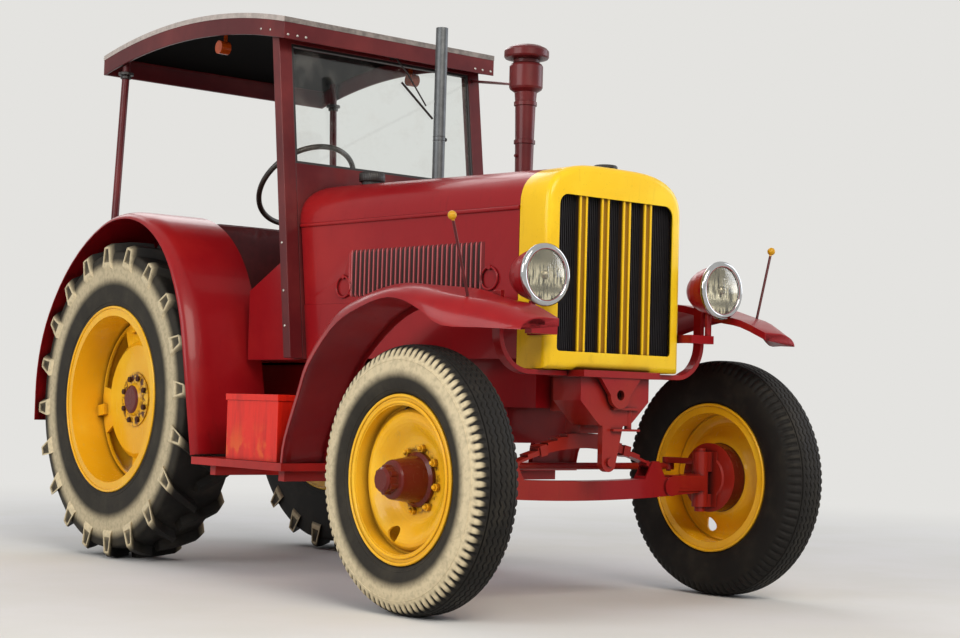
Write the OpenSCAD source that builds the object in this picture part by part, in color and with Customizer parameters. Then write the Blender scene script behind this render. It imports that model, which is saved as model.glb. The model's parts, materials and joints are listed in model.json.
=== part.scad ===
/* [Axles and wheels] */
// Distance between the front and the rear axle
wheelbase = 2270; // [2200:10:2340]
// Distance between the middles of the front tyres
front_track = 1482; // [1470:2:1520]
// Distance between the middles of the rear tyres
rear_track = 1146; // [1136:2:1160]
// Radius of a front tyre
front_tyre_r = 451; // [445:1:455]
// Width of a front tyre
front_tyre_w = 190; // [180:2:200]
// Radius of a front rim's flanges
front_flange_r = 285; // [278:1:290]
// Width over a front rim's flanges
front_rim_w = 151; // [140:1:156]
// Radius of a rear tyre at the tips of its lugs
rear_tyre_r = 690; // [680:1:700]
// Width of a rear tyre
rear_tyre_w = 300; // [288:2:304]
// Height of a rear tyre's lugs above the carcass
lug_h = 40; // [34:1:44]
// Number of lugs on each half of a rear tyre
lug_count = 20; // [18:1:22]
// Radius of a rear rim's flanges
rear_flange_r = 406; // [395:1:415]
// Width over a rear rim's flanges
rear_rim_w = 270; // [250:2:276]
// Radius of a front hub's bearing seat
front_spindle_r = 30; // [24:1:34]
// Radius of a rear axle shaft
rear_shaft_r = 42; // [36:1:50]

/* [Front axle] */
// Distance between the kingpins
kingpin_track = 1240; // [1230:2:1250]
// Radius of a kingpin
kingpin_r = 20; // [16:1:24]
// Height of the axle beam's middle at the kingpins
beam_z = 431; // [425:1:440]
// Depth of the axle beam
beam_h = 70; // [60:1:76]
// Breadth of the axle beam
beam_w = 62; // [56:2:70]
// How much lower the beam is in the middle than at its ends
beam_dip = 24; // [10:1:40]
// Length of a steering arm, from kingpin to ball pin
steering_arm_l = 170; // [160:2:190]
// Thickness of one spring leaf
leaf_t = 9; // [7:0.5:10]
// Number of spring leaves
leaf_count = 6; // [4:1:6]

/* [Bonnet and radiator shell] */
// Half width of the radiator shell
shell_half_w = 327; // [320:1:335]
// Height of the shell's lower edge
shell_z0 = 837; // [832:1:845]
// Height of the crown of the shell
shell_z1 = 1562; // [1550:1:1575]
// Depth of the shell, front to back
shell_depth = 154; // [145:1:165]
// Thickness of the shell's sheet
shell_t = 5; // [3:0.5:7]
// Half width of the grille opening
grille_half_w = 277; // [265:1:285]
// Height of the lower edge of the grille opening
grille_z0 = 899; // [890:1:910]
// Height of the upper edge of the grille opening
grille_z1 = 1446; // [1430:1:1455]
// Width of one grille bar
grille_bar_w = 38; // [30:1:44]
// Height of the bonnet's bead line, where the side panels are hinged
bead_z = 1402; // [1395:1:1410]
// Half width of the bonnet at its rear end
bonnet_rear_half_w = 450; // [430:1:455]
// Height of the bonnet's crown at its rear end
bonnet_rear_z = 1592; // [1580:1:1605]
// Thickness of the bonnet's sheet
bonnet_t = 3; // [2:0.5:4]
// Height of the lower edge of a bonnet side panel
side_panel_z0 = 1085; // [1080:1:1110]
// Radius of the hinge rods along the bonnet's bead lines
hinge_r = 8; // [6:0.5:9]
// Number of louvres in a side panel
louvre_count = 29; // [24:1:30]
// How far a louvre's hood stands out
louvre_out = 9; // [6:0.5:11]

/* [Driver's place] */
// Half width over the windscreen pillars
pillar_half_w = 520; // [510:1:530]
// Width of a windscreen pillar
pillar_w = 60; // [50:1:66]
// Depth of a windscreen pillar
pillar_d = 50; // [40:1:56]
// Lean of the windscreen towards the back, in degrees
screen_rake = 6.9; // [5:0.1:8]
// Height of the floor plate
floor_z = 870; // [860:1:885]
// Height of the lower edge of the windscreen glass
glass_z0 = 1656; // [1640:1:1675]
// Thickness of the windscreen glass
glass_t = 6; // [4:0.5:8]
// Radius of the steering wheel's rim
steering_wheel_r = 225; // [205:1:235]
// Radius of the steering wheel's grip
steering_grip_r = 12; // [10:0.5:14]
// Lean of the steering column from upright, in degrees
column_lean = 45; // [42:1:48]

/* [Roof] */
// Half width of the roof at the front
roof_front_half_w = 545; // [535:1:560]
// Half width of the roof at the back
roof_rear_half_w = 606; // [590:1:620]
// Height of the roof's front edge
roof_front_z = 2236; // [2225:1:2245]
// Height of the roof's rear edge
roof_rear_z = 2262; // [2250:1:2270]
// Radius of the roof's arch, front to back
roof_arch_r = 3300; // [3200:10:3500]
// Depth of the roof's side boards
roof_board_h = 88; // [80:1:95]
// Thickness of the roof's sheet
roof_t = 12; // [8:1:16]

/* [Fenders and steps] */
// How far a rear fender's lip stands out past its tyre
rear_lip_over = 19; // [15:1:30]
// Room between a rear tyre and the fender's inner side
rear_fender_room = 31; // [26:1:36]
// Thickness of the fenders' sheet
fender_t = 4; // [3:0.5:5]
// Height of the running boards
board_z = 470; // [460:1:480]
// Length of the toolbox
toolbox_l = 364; // [340:4:400]
// Depth of the toolbox
toolbox_d = 210; // [180:5:220]
// Height of the toolbox body
toolbox_h = 250; // [230:2:258]

/* [Hitch and shaft] */
// Radius of the hitch pin hole
hitch_hole_r = 16; // [12:0.5:18]
// Opening of the hitch jaw
hitch_gap = 60; // [50:1:70]
// Radius of the power take-off shaft
pto_r = 17.5; // [15:0.5:20]

/* [Hidden] */
$fn = 96;

// Gap left between two pieces that touch, and between a shaft and its bore
seat_gap = 0.3;
running_gap = 0.05;
// Reach behind the rear axle of the rear fenders, which are the rearmost pieces
fender_back = 705;
rear_lip_x = rear_track / 2 + rear_tyre_w / 2 + rear_lip_over;
rear_fender_inner_x = rear_track / 2 - rear_tyre_w / 2 - rear_fender_room;
wall_t = 3;
wall_x = rear_fender_inner_x - seat_gap - wall_t;
wall_hole_r = 200;
front_axle_y = -(wheelbase + fender_back - front_tyre_r) / 2;

red = "firebrick";
dark_red = "darkred";
yellow = "gold";
black = [0.12, 0.12, 0.12];

module in_place() translate([0, front_axle_y, 0]) children();

module on_side(side) {
    if (side > 0) children();
    else mirror([1, 0, 0]) children();
}

module on_both_sides() {
    children();
    mirror([1, 0, 0]) children();
}

// A profile of radius and outward distance, turned about an axle that points outwards
module about_axle() rotate([0, 90, 0]) rotate_extrude() children();

// A solid through rings of points, all with as many points, and closed at both ends
function ring_faces(count, size) = concat(
    [[for (k = [0 : size - 1]) k]],
    [for (j = [0 : count - 2], k = [0 : size - 1])
        let (a = j * size + k, b = j * size + (k + 1) % size) [a, a + size, b + size, b]],
    [[for (k = [size - 1 : -1 : 0]) (count - 1) * size + k]]);

module skin(rings) {
    points = [for (ring = rings, p = ring) p];
    polyhedron(points, ring_faces(len(rings), len(rings[0])), convexity = 10);
}

// A path of lines and arcs in a plane: each step is [radius, turn], or [0, length] for a line.
// A positive turn goes to the left. The children are a section whose x points left of the path.
function step_end(p, heading, radius, turn) = radius == 0
    ? [p + turn * [cos(heading), sin(heading)], heading]
    : let (side = sign(turn), centre = p + side * radius * [-sin(heading), cos(heading)],
           end = heading + turn)
      [centre + side * radius * [sin(end), -cos(end)], end];

module along_path(p, heading, steps, index = 0) {
    radius = steps[index][0];
    turn = steps[index][1];
    side = sign(turn);
    if (radius == 0)
        translate(p) rotate([0, 0, heading]) rotate([90, 0, 90]) linear_extrude(turn) children();
    else
        translate(p + side * radius * [-sin(heading), cos(heading)])
            rotate([0, 0, side > 0 ? heading - 90 : heading + 90 + turn])
                rotate_extrude(angle = abs(turn)) translate([radius, 0])
                    mirror([side > 0 ? 1 : 0, 0]) children();
    if (index + 1 < len(steps)) {
        next = step_end(p, heading, radius, turn);
        along_path(next[0], next[1], steps, index + 1) children();
    }
}

// Turns a drawing whose x points to the back and y points up into the side view
module side_view() rotate([90, 0, 90]) children();

// Turns a drawing whose x points to the left side and y points up into the front view
module front_view() rotate([90, 0, 0]) children();

// Wheels

front_wheel_x = front_track / 2;
rear_wheel_x = rear_track / 2;
flange_t = 6;
front_seat_r = front_flange_r - 31;
rear_seat_r = rear_flange_r - 36;

// Half a tyre's section: columns are the radius and the distance from the middle. The sidewall
// bulges along an arc from the flange to the shoulder, and the tread is slightly crowned.
wall_low = -65;
wall_high = 75;

function tyre_half(r, w, seat_r, flange_r, rim_w) =
    let (h = (r - flange_r - 17) / (sin(wall_high) - sin(wall_low)),
         mid_r = flange_r + 3 - h * sin(wall_low),
         bulge = (w - rim_w) / 2 / (1 - cos(wall_low)),
         shoulder = w / 2 - bulge * (1 - cos(wall_high)))
    concat(
        [[seat_r + seat_gap, rim_w / 2 - flange_t - seat_gap],
         [flange_r + 1, rim_w / 2 - flange_t - seat_gap]],
        [for (k = [0 : 7]) let (a = wall_low + (wall_high - wall_low) * k / 7)
            [mid_r + h * sin(a), w / 2 - bulge * (1 - cos(a))]],
        [[r - 6, shoulder - 7], [r - 2, w * 0.24], [r, w * 0.1]]);

module tyre(r, w, seat_r, flange_r, rim_w) {
    half = tyre_half(r, w, seat_r, flange_r, rim_w);
    last = len(half) - 1;
    about_axle() polygon(concat(half, [for (k = [last : -1 : 0]) [half[k][0], -half[k][1]]]));
}

// A rim's section: the seat, and two flanges with rolled edges
flange_roll_r = 6;

module rim_section(seat_r, flange_r, rim_w) {
    for (side = [-1, 1]) {
        translate([seat_r - 1, side * (rim_w - flange_t) / 2 - flange_t / 2])
            square([flange_r - seat_r + 1, flange_t]);
        translate([flange_r - flange_roll_r, side * (rim_w / 2 + 0.5)])
            circle(r = flange_roll_r, $fn = 32);
    }
    translate([seat_r - 7, -rim_w / 2]) square([7, rim_w]);
}

hub_out = 151;
front_drum_r = 130;
front_drum_in = -72;

spindle_out = 86;
disc_t = 8;
lock_ring_r = 6;
hand_hole_r = 27;
hand_hole_at = 200;
hand_hole_turn = 68;
hub_lobe_r = 12;

// The outer face of the pressed disc: columns are the radius and the outward distance. It is
// flat at the hub, rises on a smooth curve, and falls into a groove beside the rim.
front_disc_face = concat([[40, -8]],
    [for (k = [0 : 8]) [124 + 11 * k, -8 + 24 * (1 - cos(22.5 * k))]],
    [[224, 38], [233, 33], [240, 24], [front_seat_r - 5, 24]]);

module front_wheel() color(yellow) difference() {
    union() {
        about_axle() {
            rim_section(front_seat_r, front_flange_r, front_rim_w);
            translate([front_seat_r + lock_ring_r - 3, front_rim_w / 2 + 0.5])
                circle(r = lock_ring_r, $fn = 32);
            last = len(front_disc_face) - 1;
            polygon(concat(front_disc_face,
                [for (k = [last : -1 : 0]) front_disc_face[k] - [0, disc_t]]));
        }
        color(red) about_axle() polygon([[0, -9], [92, -9], [92, 6], [80, 14], [66, 104], [62, 110],
            [44, 114], [42, hub_out - 8], [34, hub_out], [0, hub_out]]);
        color(red) for (k = [0 : 5]) rotate([60 * k, 0, 0]) translate([100, 0, 38])
            rotate([0, 90, 0]) cylinder(h = hub_out - 112, r = hub_lobe_r);
        color(red) about_axle() translate([0, front_drum_in])
            square([front_drum_r, -9 - front_drum_in]);
    }
    about_axle() translate([0, front_drum_in - 1])
        square([front_spindle_r + running_gap, spindle_out + 1.5 - front_drum_in]);
    rotate([-hand_hole_turn, 0, 0]) translate([-10, hand_hole_at, 0]) rotate([0, 90, 0])
        cylinder(h = 80, r = hand_hole_r);
}

module front_wheel_at(side) in_place() on_side(side)
    translate([front_wheel_x, 0, front_tyre_r]) front_wheel();

module front_wheel_left() front_wheel_at(1);
module front_wheel_right() front_wheel_at(-1);

module front_tyre_at(side) color(black) in_place() on_side(side)
    translate([front_wheel_x, 0, front_tyre_r])
        tyre(front_tyre_r, front_tyre_w, front_seat_r, front_flange_r, front_rim_w);

module front_tyre_left() front_tyre_at(1);
module front_tyre_right() front_tyre_at(-1);

rear_disc_out = 6;
rear_hub_out = 35;
rear_shaft_out = rear_hub_out - 18;
rear_opening_r0 = 258;
rear_opening_r1 = 340;
rear_opening_angle = 54;

module rear_wheel() difference() {
    union() {
        color(yellow) about_axle() {
            rim_section(rear_seat_r, rear_flange_r, rear_rim_w);
            polygon([[60, rear_disc_out - 10], [232, rear_disc_out - 10], [256, rear_disc_out - 26],
                [348, rear_disc_out - 32], [rear_seat_r - 5, -52], [rear_seat_r - 5, -38],
                [352, rear_disc_out - 22], [260, rear_disc_out - 16], [238, rear_disc_out],
                [60, rear_disc_out]]);
        }
        color(red) about_axle() polygon([[0, rear_disc_out - 30], [118, rear_disc_out - 30],
            [118, rear_disc_out + 6], [74, rear_disc_out + 10], [60, rear_hub_out - 4],
            [50, rear_hub_out], [0, rear_hub_out]]);
        for (k = [0 : 3]) rotate([90 * k - 9, 0, 0]) translate([-58, 300, -24])
            cube([66, rear_seat_r - 304, 48]);
    }
    for (k = [0 : 3]) rotate([90 * k + 36 - rear_opening_angle / 2, 0, 0])
        rotate([0, 90, 0]) rotate([0, 0, 90]) rotate_extrude(angle = rear_opening_angle)
            translate([rear_opening_r0, -60]) square([rear_opening_r1 - rear_opening_r0, 80]);
    about_axle() translate([0, -80])
        square([rear_shaft_r + running_gap, rear_shaft_out + 1.5 + 80]);
}

module rear_wheel_at(side) in_place() on_side(side)
    translate([rear_wheel_x, wheelbase, rear_tyre_r]) rear_wheel();

module rear_wheel_left() rear_wheel_at(1);
module rear_wheel_right() rear_wheel_at(-1);

// A lug is a straight bar with sloping flanks. It runs from the middle of the tread outwards and
// back, and its end stands out past the shoulder. Its own x points outwards and z away from the hub.
lug_root_r = 545;
lug_turn = 35;
lug_half_l = 140;

module lug() intersection() {
    translate([rear_tyre_w * 0.27, 0, 0]) rotate([90, 0, 90 + lug_turn])
        translate([0, 0, -lug_half_l]) linear_extrude(2 * lug_half_l)
            polygon([[-34, lug_root_r], [34, lug_root_r], [13, rear_tyre_r], [-13, rear_tyre_r]]);
    rotate([0, 90, 0]) cylinder(h = rear_tyre_w + 2, r = rear_tyre_r, center = true);
    translate([0, 200, 0]) rotate([90, 0, 0]) linear_extrude(400) polygon([
        [-12, rear_tyre_r - lug_h - 30], [-12, rear_tyre_r + 1], [70, rear_tyre_r + 1],
        [rear_tyre_w / 2 - 20, rear_tyre_r - 8], [rear_tyre_w / 2, rear_tyre_r - 26],
        [rear_tyre_w / 2, rear_tyre_r - 112], [rear_tyre_w / 2 - 22, rear_tyre_r - 138],
        [rear_tyre_w / 2 - 50, rear_tyre_r - 138], [rear_tyre_w / 2 - 60, rear_tyre_r - lug_h - 30]]);
}

module rear_tyre() {
    tyre(rear_tyre_r - lug_h, rear_tyre_w - 16, rear_seat_r, rear_flange_r, rear_rim_w);
    for (k = [0 : lug_count - 1]) {
        rotate([360 * k / lug_count, 0, 0]) lug();
        rotate([360 * (k + 0.5) / lug_count, 0, 0]) mirror([1, 0, 0]) lug();
    }
}

module rear_tyre_at(side) color(black) in_place() on_side(side)
    translate([rear_wheel_x, wheelbase, rear_tyre_r]) rear_tyre();

module rear_tyre_left() rear_tyre_at(1);
module rear_tyre_right() rear_tyre_at(-1);

// Front axle and steering

kingpin_x = kingpin_track / 2;
eye_h = 84;
eye_r = 31;
eye_z0 = beam_z - eye_h / 2;
eye_z1 = beam_z + eye_h / 2;
beam_half_l = kingpin_x - eye_r;
beam_arc_r = (beam_half_l * beam_half_l + beam_dip * beam_dip) / (2 * beam_dip);
beam_stations = [for (k = [-8 : 8]) beam_half_l * k / 8];
spring_end_x = 350;
sleeve_l = 190;

function beam_top_z(x) = beam_z + beam_h / 2 - beam_dip
    + beam_arc_r - sqrt(beam_arc_r * beam_arc_r - x * x);

module front_axle_beam() color(red) in_place() difference() {
    union() {
        translate([0, beam_w / 2, 0]) front_view() linear_extrude(beam_w)
            polygon(concat([for (x = beam_stations) [x, beam_top_z(x)]],
                [for (k = [len(beam_stations) - 1 : -1 : 0])
                    [beam_stations[k], beam_top_z(beam_stations[k]) - beam_h]]));
        on_both_sides() {
            translate([kingpin_x, 0, eye_z0]) cylinder(h = eye_h, r = eye_r);
            translate([kingpin_x - sleeve_l, -beam_w / 2 - 6, beam_z - beam_h / 2 + 6])
                cube([sleeve_l - 10, beam_w + 12, beam_h - 12]);
            translate([kingpin_x - sleeve_l, beam_w / 2 + 10, beam_top_z(kingpin_x - sleeve_l) - beam_h / 2])
                rotate([90, 0, 0]) cylinder(h = beam_w + 20, r = beam_h / 2 + 1);
            translate([0, beam_w / 2, 0]) front_view() linear_extrude(beam_w)
                polygon([[spring_end_x - 60, beam_top_z(spring_end_x - 60) - 10],
                    [spring_end_x + 55, beam_top_z(spring_end_x + 55) - 10],
                    [spring_end_x + 16, shackle_z + 14], [spring_end_x - 16, shackle_z + 14]]);
        }
    }
    on_both_sides() translate([kingpin_x, 0, eye_z0 - 1])
        cylinder(h = eye_h + 2, r = kingpin_r + running_gap);
    on_both_sides() translate([spring_end_x - 70, -leaf_w / 2 - 1, beam_top_z(spring_end_x) + 8])
        cube([140, leaf_w + 2, 200]);
    on_both_sides() translate([spring_end_x, beam_w, shackle_z - 4]) rotate([90, 0, 0])
        cylinder(h = 2 * beam_w, r = shackle_pin_r + seat_gap);
}

// The spring lies crosswise over the beam, its longest leaf at the bottom
leaf_w = 44;
spring_arc_r = 900;
spring_mid_z = 560;
leaf_half_l = 318;
leaf_step = 46;
leaf_end_angle = asin(leaf_half_l / spring_arc_r);
shackle_z = spring_mid_z - spring_arc_r * (1 - cos(leaf_end_angle)) - 2;
spring_top_z = spring_mid_z + leaf_count * leaf_t;
shackle_pin_r = 9;
clamp_x = 200;
clamp_angle = asin(clamp_x / spring_arc_r);
clamp_leaves = 3;
clamp_t = 6;

// The lowest leaves' section in a clamp, grown by a margin: x is the distance from the arc's centre
module clamp_section(margin) translate([spring_arc_r - margin, -leaf_w / 2 - margin])
    square([clamp_leaves * leaf_t + 2 * margin, leaf_w + 2 * margin]);

module front_spring() color(dark_red) in_place() {
    for (k = [0 : leaf_count - 1]) {
        angle = asin((leaf_half_l - k * leaf_step) / (spring_arc_r + k * leaf_t));
        translate([0, 0, spring_mid_z - spring_arc_r]) front_view()
            rotate([0, 0, 90 - angle]) rotate_extrude(angle = 2 * angle, $fn = 240)
                translate([spring_arc_r + k * leaf_t, -leaf_w / 2]) square([leaf_t, leaf_w]);
    }
    on_both_sides() {
        translate([0, 0, spring_mid_z - spring_arc_r]) front_view()
            rotate([0, 0, 89 - clamp_angle]) rotate_extrude(angle = 2, $fn = 240) difference() {
                clamp_section(clamp_t);
                clamp_section(seat_gap);
            }
        translate([spring_end_x, beam_w / 2, shackle_z - 4]) rotate([90, 0, 0])
            cylinder(h = beam_w, r = shackle_pin_r);
        translate([spring_end_x - 4, leaf_w / 2, shackle_z - 4]) rotate([90, 0, 0])
            linear_extrude(leaf_w) polygon([[-36, 2], [-36, 14], [4, 15], [12, 0], [0, -14]]);
    }
}

knuckle_pin_z0 = 322;
knuckle_pin_z1 = 562;
arm_z0 = eye_z1 + 28;
arm_z1 = arm_z0 + 22;
ball_pin_r = 10;
tie_eye_z0 = arm_z0 - seat_gap - 26;
backing_out = front_wheel_x + front_drum_in - seat_gap;

module knuckle() {
    translate([kingpin_x, 0, knuckle_pin_z0])
        cylinder(h = knuckle_pin_z1 - knuckle_pin_z0, r = kingpin_r);
    for (z = [[knuckle_pin_z0 + 18, eye_z0 - seat_gap], [eye_z1 + seat_gap, knuckle_pin_z1 - 12]]) {
        translate([kingpin_x, 0, z[0]]) cylinder(h = z[1] - z[0], r = 31);
        translate([kingpin_x, -26, z[0]]) cube([backing_out - 8 - kingpin_x, 52, z[1] - z[0]]);
    }
    translate([backing_out - 12, -48, knuckle_pin_z0 + 18])
        cube([6, 96, knuckle_pin_z1 - 30 - knuckle_pin_z0]);
    translate([backing_out, 0, front_tyre_r]) about_axle()
        polygon([[0, -12], [78, -12], [84, -6], [118, -6], [132, -2], [132, 0], [0, 0]]);
    translate([backing_out - 8, 0, front_tyre_r]) rotate([0, 90, 0])
        cylinder(h = front_wheel_x + spindle_out - backing_out + 8, r = front_spindle_r);
    difference() {
        translate([kingpin_x - 20, 0, arm_z0]) cube([40, steering_arm_l, arm_z1 - arm_z0]);
        translate([kingpin_x, 0, arm_z0 - 1]) cylinder(h = 10, r = 5);
    }
    translate([kingpin_x, steering_arm_l, arm_z0]) cylinder(h = arm_z1 - arm_z0, r = 24);
    translate([kingpin_x, steering_arm_l, tie_eye_z0 - 6])
        cylinder(h = arm_z1 - tie_eye_z0 + 6, r = ball_pin_r);
}

module knuckle_at(side) color(red) in_place() on_side(side) knuckle();
module knuckle_left() knuckle_at(1);
module knuckle_right() knuckle_at(-1);

tie_rod_r = 13;

module tie_rod() color(dark_red) in_place() difference() {
    union() {
        translate([-kingpin_x, steering_arm_l, tie_eye_z0 + 13]) rotate([0, 90, 0])
            cylinder(h = kingpin_track, r = tie_rod_r);
        on_both_sides() translate([kingpin_x, steering_arm_l, tie_eye_z0])
            cylinder(h = 26, r = 22);
    }
    translate([-kingpin_x, steering_arm_l, tie_eye_z0 - 1])
        cylinder(h = 30, r = ball_pin_r + running_gap);
    translate([kingpin_x, steering_arm_l, tie_eye_z0 - 1])
        cylinder(h = 30, r = ball_pin_r + 2 * running_gap);
}

// Engine, gearbox and rear axle

engine_y0 = 40;
engine_y1 = 1000;
engine_half_w = 190;
engine_top_z = 1260;
gearbox_y1 = wheelbase - 190;
rear_case_y1 = wheelbase + 210;
rear_case_z1 = floor_z - 4 - seat_gap;

module engine_block() color(dark_red) in_place() {
    translate([-engine_half_w, engine_y0, 700])
        cube([2 * engine_half_w, engine_y1 - engine_y0, engine_top_z - 700]);
    translate([-engine_half_w + 40, engine_y0 + 200, 570])
        cube([2 * engine_half_w - 80, engine_y1 - engine_y0 - 200, 131]);
}

module gearbox() color(dark_red) in_place() {
    side_view() translate([0, 0, -150]) linear_extrude(300)
        polygon([[engine_y1 + seat_gap, 600], [engine_y1 + 300, step_hanger_z],
            [board_y1 + 10, step_hanger_z], [gearbox_y1, 480], [gearbox_y1, 860],
            [engine_y1 + seat_gap, 860]]);
    translate([-engine_half_w, engine_y1 + seat_gap, 600]) cube([2 * engine_half_w, 60, 266]);
    side_view() translate([0, 0, -rear_case_half_w]) linear_extrude(2 * rear_case_half_w)
        polygon([[gearbox_y1 - 60, 540], [gearbox_y1 + 80, 460], [rear_case_y1 - 80, 460],
            [rear_case_y1, 540], [rear_case_y1, 820], [rear_case_y1 - 60, rear_case_z1],
            [gearbox_y1 - 60, rear_case_z1]]);
    translate([0, rear_case_y1 - 1, pto_z]) rotate([-90, 0, 0]) {
        cylinder(h = 61, r = pto_r);
        cylinder(h = 16, r = 48);
    }
}

rear_case_half_w = 210;
pto_z = 712;
step_hanger_z = 520;

module rear_axle() color(dark_red) in_place() on_both_sides()
    translate([rear_case_half_w + seat_gap, wheelbase, rear_tyre_r]) rotate([0, 90, 0]) {
        cylinder(h = 175, r = 92);
        cylinder(h = rear_wheel_x + rear_shaft_out - rear_case_half_w, r = rear_shaft_r);
        translate([0, 0, 130]) cylinder(h = rear_drum_out - rear_case_half_w - 130, r = 170);
    }

rear_drum_out = rear_wheel_x - 60;

// Bolster, which carries the radiator and the front of the engine

bolster_top_z = shell_z0 - seat_gap;

module front_bolster() color(red) in_place() difference() {
    union() {
        translate([-185, -205, bolster_top_z - 24]) cube([370, 190, 24]);
        translate([0, -24, 0]) front_view() linear_extrude(146)
            polygon([[-165, bolster_top_z - 20], [-165, 730], [-90, 660],
                [-70, spring_top_z + 30], [70, spring_top_z + 30], [90, 660], [165, 730],
                [165, bolster_top_z - 20]]);
        translate([-120, -60, 690]) cube([240, 60 + engine_y0 - seat_gap, 120]);
        translate([-45, -40, spring_top_z + seat_gap]) cube([90, 80, 60]);
        translate([0, -146, 0]) front_view() linear_extrude(24) union() {
            translate([-24, 515]) circle(r = 34);
            polygon([[-58, 515], [-58, 640], [-90, 690], [80, 690], [40, 640], [10, 515]]);
        }
        for (z = bolster_shelf_z) translate([-20, -186, z]) cube([130, 60, 8]);
        translate([72, -162, bolster_shelf_z[0]])
            cylinder(h = bolster_shelf_z[1] - bolster_shelf_z[0], r = 13);
        translate([-24, -164, 515]) rotate([90, 0, 0]) cylinder(h = 16, r = 15);
        translate([0, -180, 0]) front_view() linear_extrude(18) union() {
            translate([0, 752]) circle(r = 48);
            polygon([[-48, 752], [-110, bolster_top_z - 10], [110, bolster_top_z - 10], [48, 752]]);
        }
    }
    translate([0, -150, 752]) rotate([90, 0, 0]) cylinder(h = 80, r = crank_hole_r);
}

crank_hole_r = 18;
bolster_shelf_z = [625, 700];

// Radiator shell, core, bars and caps

shell_y0 = -9 - shell_depth;
shell_y1 = -9;

// A bonnet section from bead line to bead line, as a rounded box whose ends stand at the foot
function crown(half_w, z0, z1, foot = 0, steps = 22) = [for (k = [0 : steps])
    let (a = 90 - 180 * k / steps, c = sin(a), s = cos(a))
    [sign(c) * half_w * pow(abs(c), 2 / 3.4), z0 + max(foot, (z1 - z0) * pow(abs(s), 2 / 2.6))]];

function shell_outline(inset) = concat(
    [[-shell_half_w + inset, shell_z0 + inset], [shell_half_w - inset, shell_z0 + inset]],
    crown(shell_half_w - inset, bead_z, shell_z1 - inset));

function ring_at(y, outline) = [for (p = outline) [p[0], y, p[1]]];

shell_round_r = 26;

// The shell's front edge is rounded by rings along a quarter circle
module shell_solid(inset, y0) skin(concat(
    [ring_at(shell_y1 + (inset > 0 ? 1 : 0), shell_outline(inset))],
    [for (a = [0 : 22.5 : 90])
        ring_at(y0 + shell_round_r * (1 - sin(a)), shell_outline(inset + shell_round_r * (1 - cos(a))))]));

module grille_outline(grow = 0) hull() {
    for (x = [-1, 1]) {
        translate([x * (grille_half_w + grow - 40), grille_z1 + grow - 40]) circle(r = 40, $fn = 32);
        translate([x * (grille_half_w + grow - 14), grille_z0 - grow + 14]) circle(r = 14, $fn = 32);
    }
}

module radiator_shell() color(yellow) in_place() difference() {
    shell_solid(0, shell_y0);
    shell_solid(shell_t, shell_y0 + shell_t);
    translate([0, shell_y0 + 60, 0]) front_view() linear_extrude(100) grille_outline();
}

core_y0 = shell_y0 + 34;

module radiator_core() color(black) in_place()
    translate([-shell_half_w + 30, core_y0, shell_z0 + shell_t + seat_gap])
        cube([2 * shell_half_w - 60, 80, grille_z1 + 30 - shell_z0 - shell_t]);

grille_bar_x = [-158, -53, 53, 158];

bar_groove_w = 20;
bar_groove_d = 8;

// Each bar is a channel, open to the front
module grille_bars() color(yellow) in_place()
    for (x = grille_bar_x)
        translate([x, 0, grille_z0 - 20]) linear_extrude(grille_z1 - grille_z0 + 40) difference() {
            translate([-grille_bar_w / 2, grille_bar_y0])
                square([grille_bar_w, core_y0 - seat_gap - grille_bar_y0]);
            translate([-bar_groove_w / 2, grille_bar_y0 - 1]) square([bar_groove_w, bar_groove_d + 1]);
        }

grille_bar_y0 = shell_y0 + shell_t + 2;

function bonnet_rear_y(z) = screen_y(z) - (scuttle_t / 2 + seat_gap) / cos(screen_rake);

module filler_caps() color([0.2, 0.06, 0.05]) in_place() {
    translate([0, -90, shell_z1 + seat_gap]) cylinder(h = 16, r = 44);
    translate([fuel_cap_x, fuel_cap_y, bonnet_rear_z - 60]) cylinder(h = 70, r = neck_r);
    translate([fuel_cap_x, fuel_cap_y, bonnet_rear_z + 2]) cylinder(h = 40, r = neck_r + 12);
}

fuel_cap_x = -190;
fuel_cap_y = 1080;
neck_r = 40;

// Bonnet

bonnet_y0 = shell_y1 + seat_gap;

function bonnet_half_w(y) = shell_half_w
    + (bonnet_rear_half_w - shell_half_w) * (y - bonnet_y0) / (1200 - bonnet_y0);

module bonnet_shell(inset) {
    front = crown(shell_half_w - inset, bead_z, shell_z1 - inset, hinge_r);
    back = crown(bonnet_rear_half_w - inset, bead_z, bonnet_rear_z - inset, hinge_r);
    low = inset > 0 ? -1 : 0;
    skin([
        [for (p = back) [p[0], bonnet_rear_y(p[1]) - low, p[1] + low]],
        [for (p = front) [p[0], bonnet_y0 + low, p[1] + low]]
    ]);
}

module bonnet_top() color(dark_red) in_place() difference() {
    bonnet_shell(0);
    bonnet_shell(bonnet_t);
    translate([0, exhaust_y, bead_z - 10]) cylinder(h = 300, r = exhaust_r + 4);
    translate([fuel_cap_x, fuel_cap_y, bead_z - 10]) cylinder(h = 300, r = neck_r + seat_gap);
    translate([intake_x, intake_y, bead_z - 10]) cylinder(h = 300, r = intake_r + seat_gap);
}

panel_turn = atan((bonnet_rear_half_w - shell_half_w) / (1200 - bonnet_y0));

// The frame of a side panel: x points out of its outer face, y runs along it to the back
module on_panel() translate([shell_half_w, bonnet_y0, 0]) rotate([0, 0, -panel_turn])
    translate([0, -bonnet_y0, 0]) children();

function along_panel(y) = y / cos(panel_turn);

module side_strip(z0, z1, front_gap, rear_gap) on_panel() translate([-bonnet_t, 0, 0])
    side_view() linear_extrude(bonnet_t) polygon([
        [bonnet_y0 + front_gap, z0], [along_panel(bonnet_rear_y(z0) - rear_gap), z0],
        [along_panel(bonnet_rear_y(z1) - rear_gap), z1], [bonnet_y0 + front_gap, z1]]);

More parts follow.
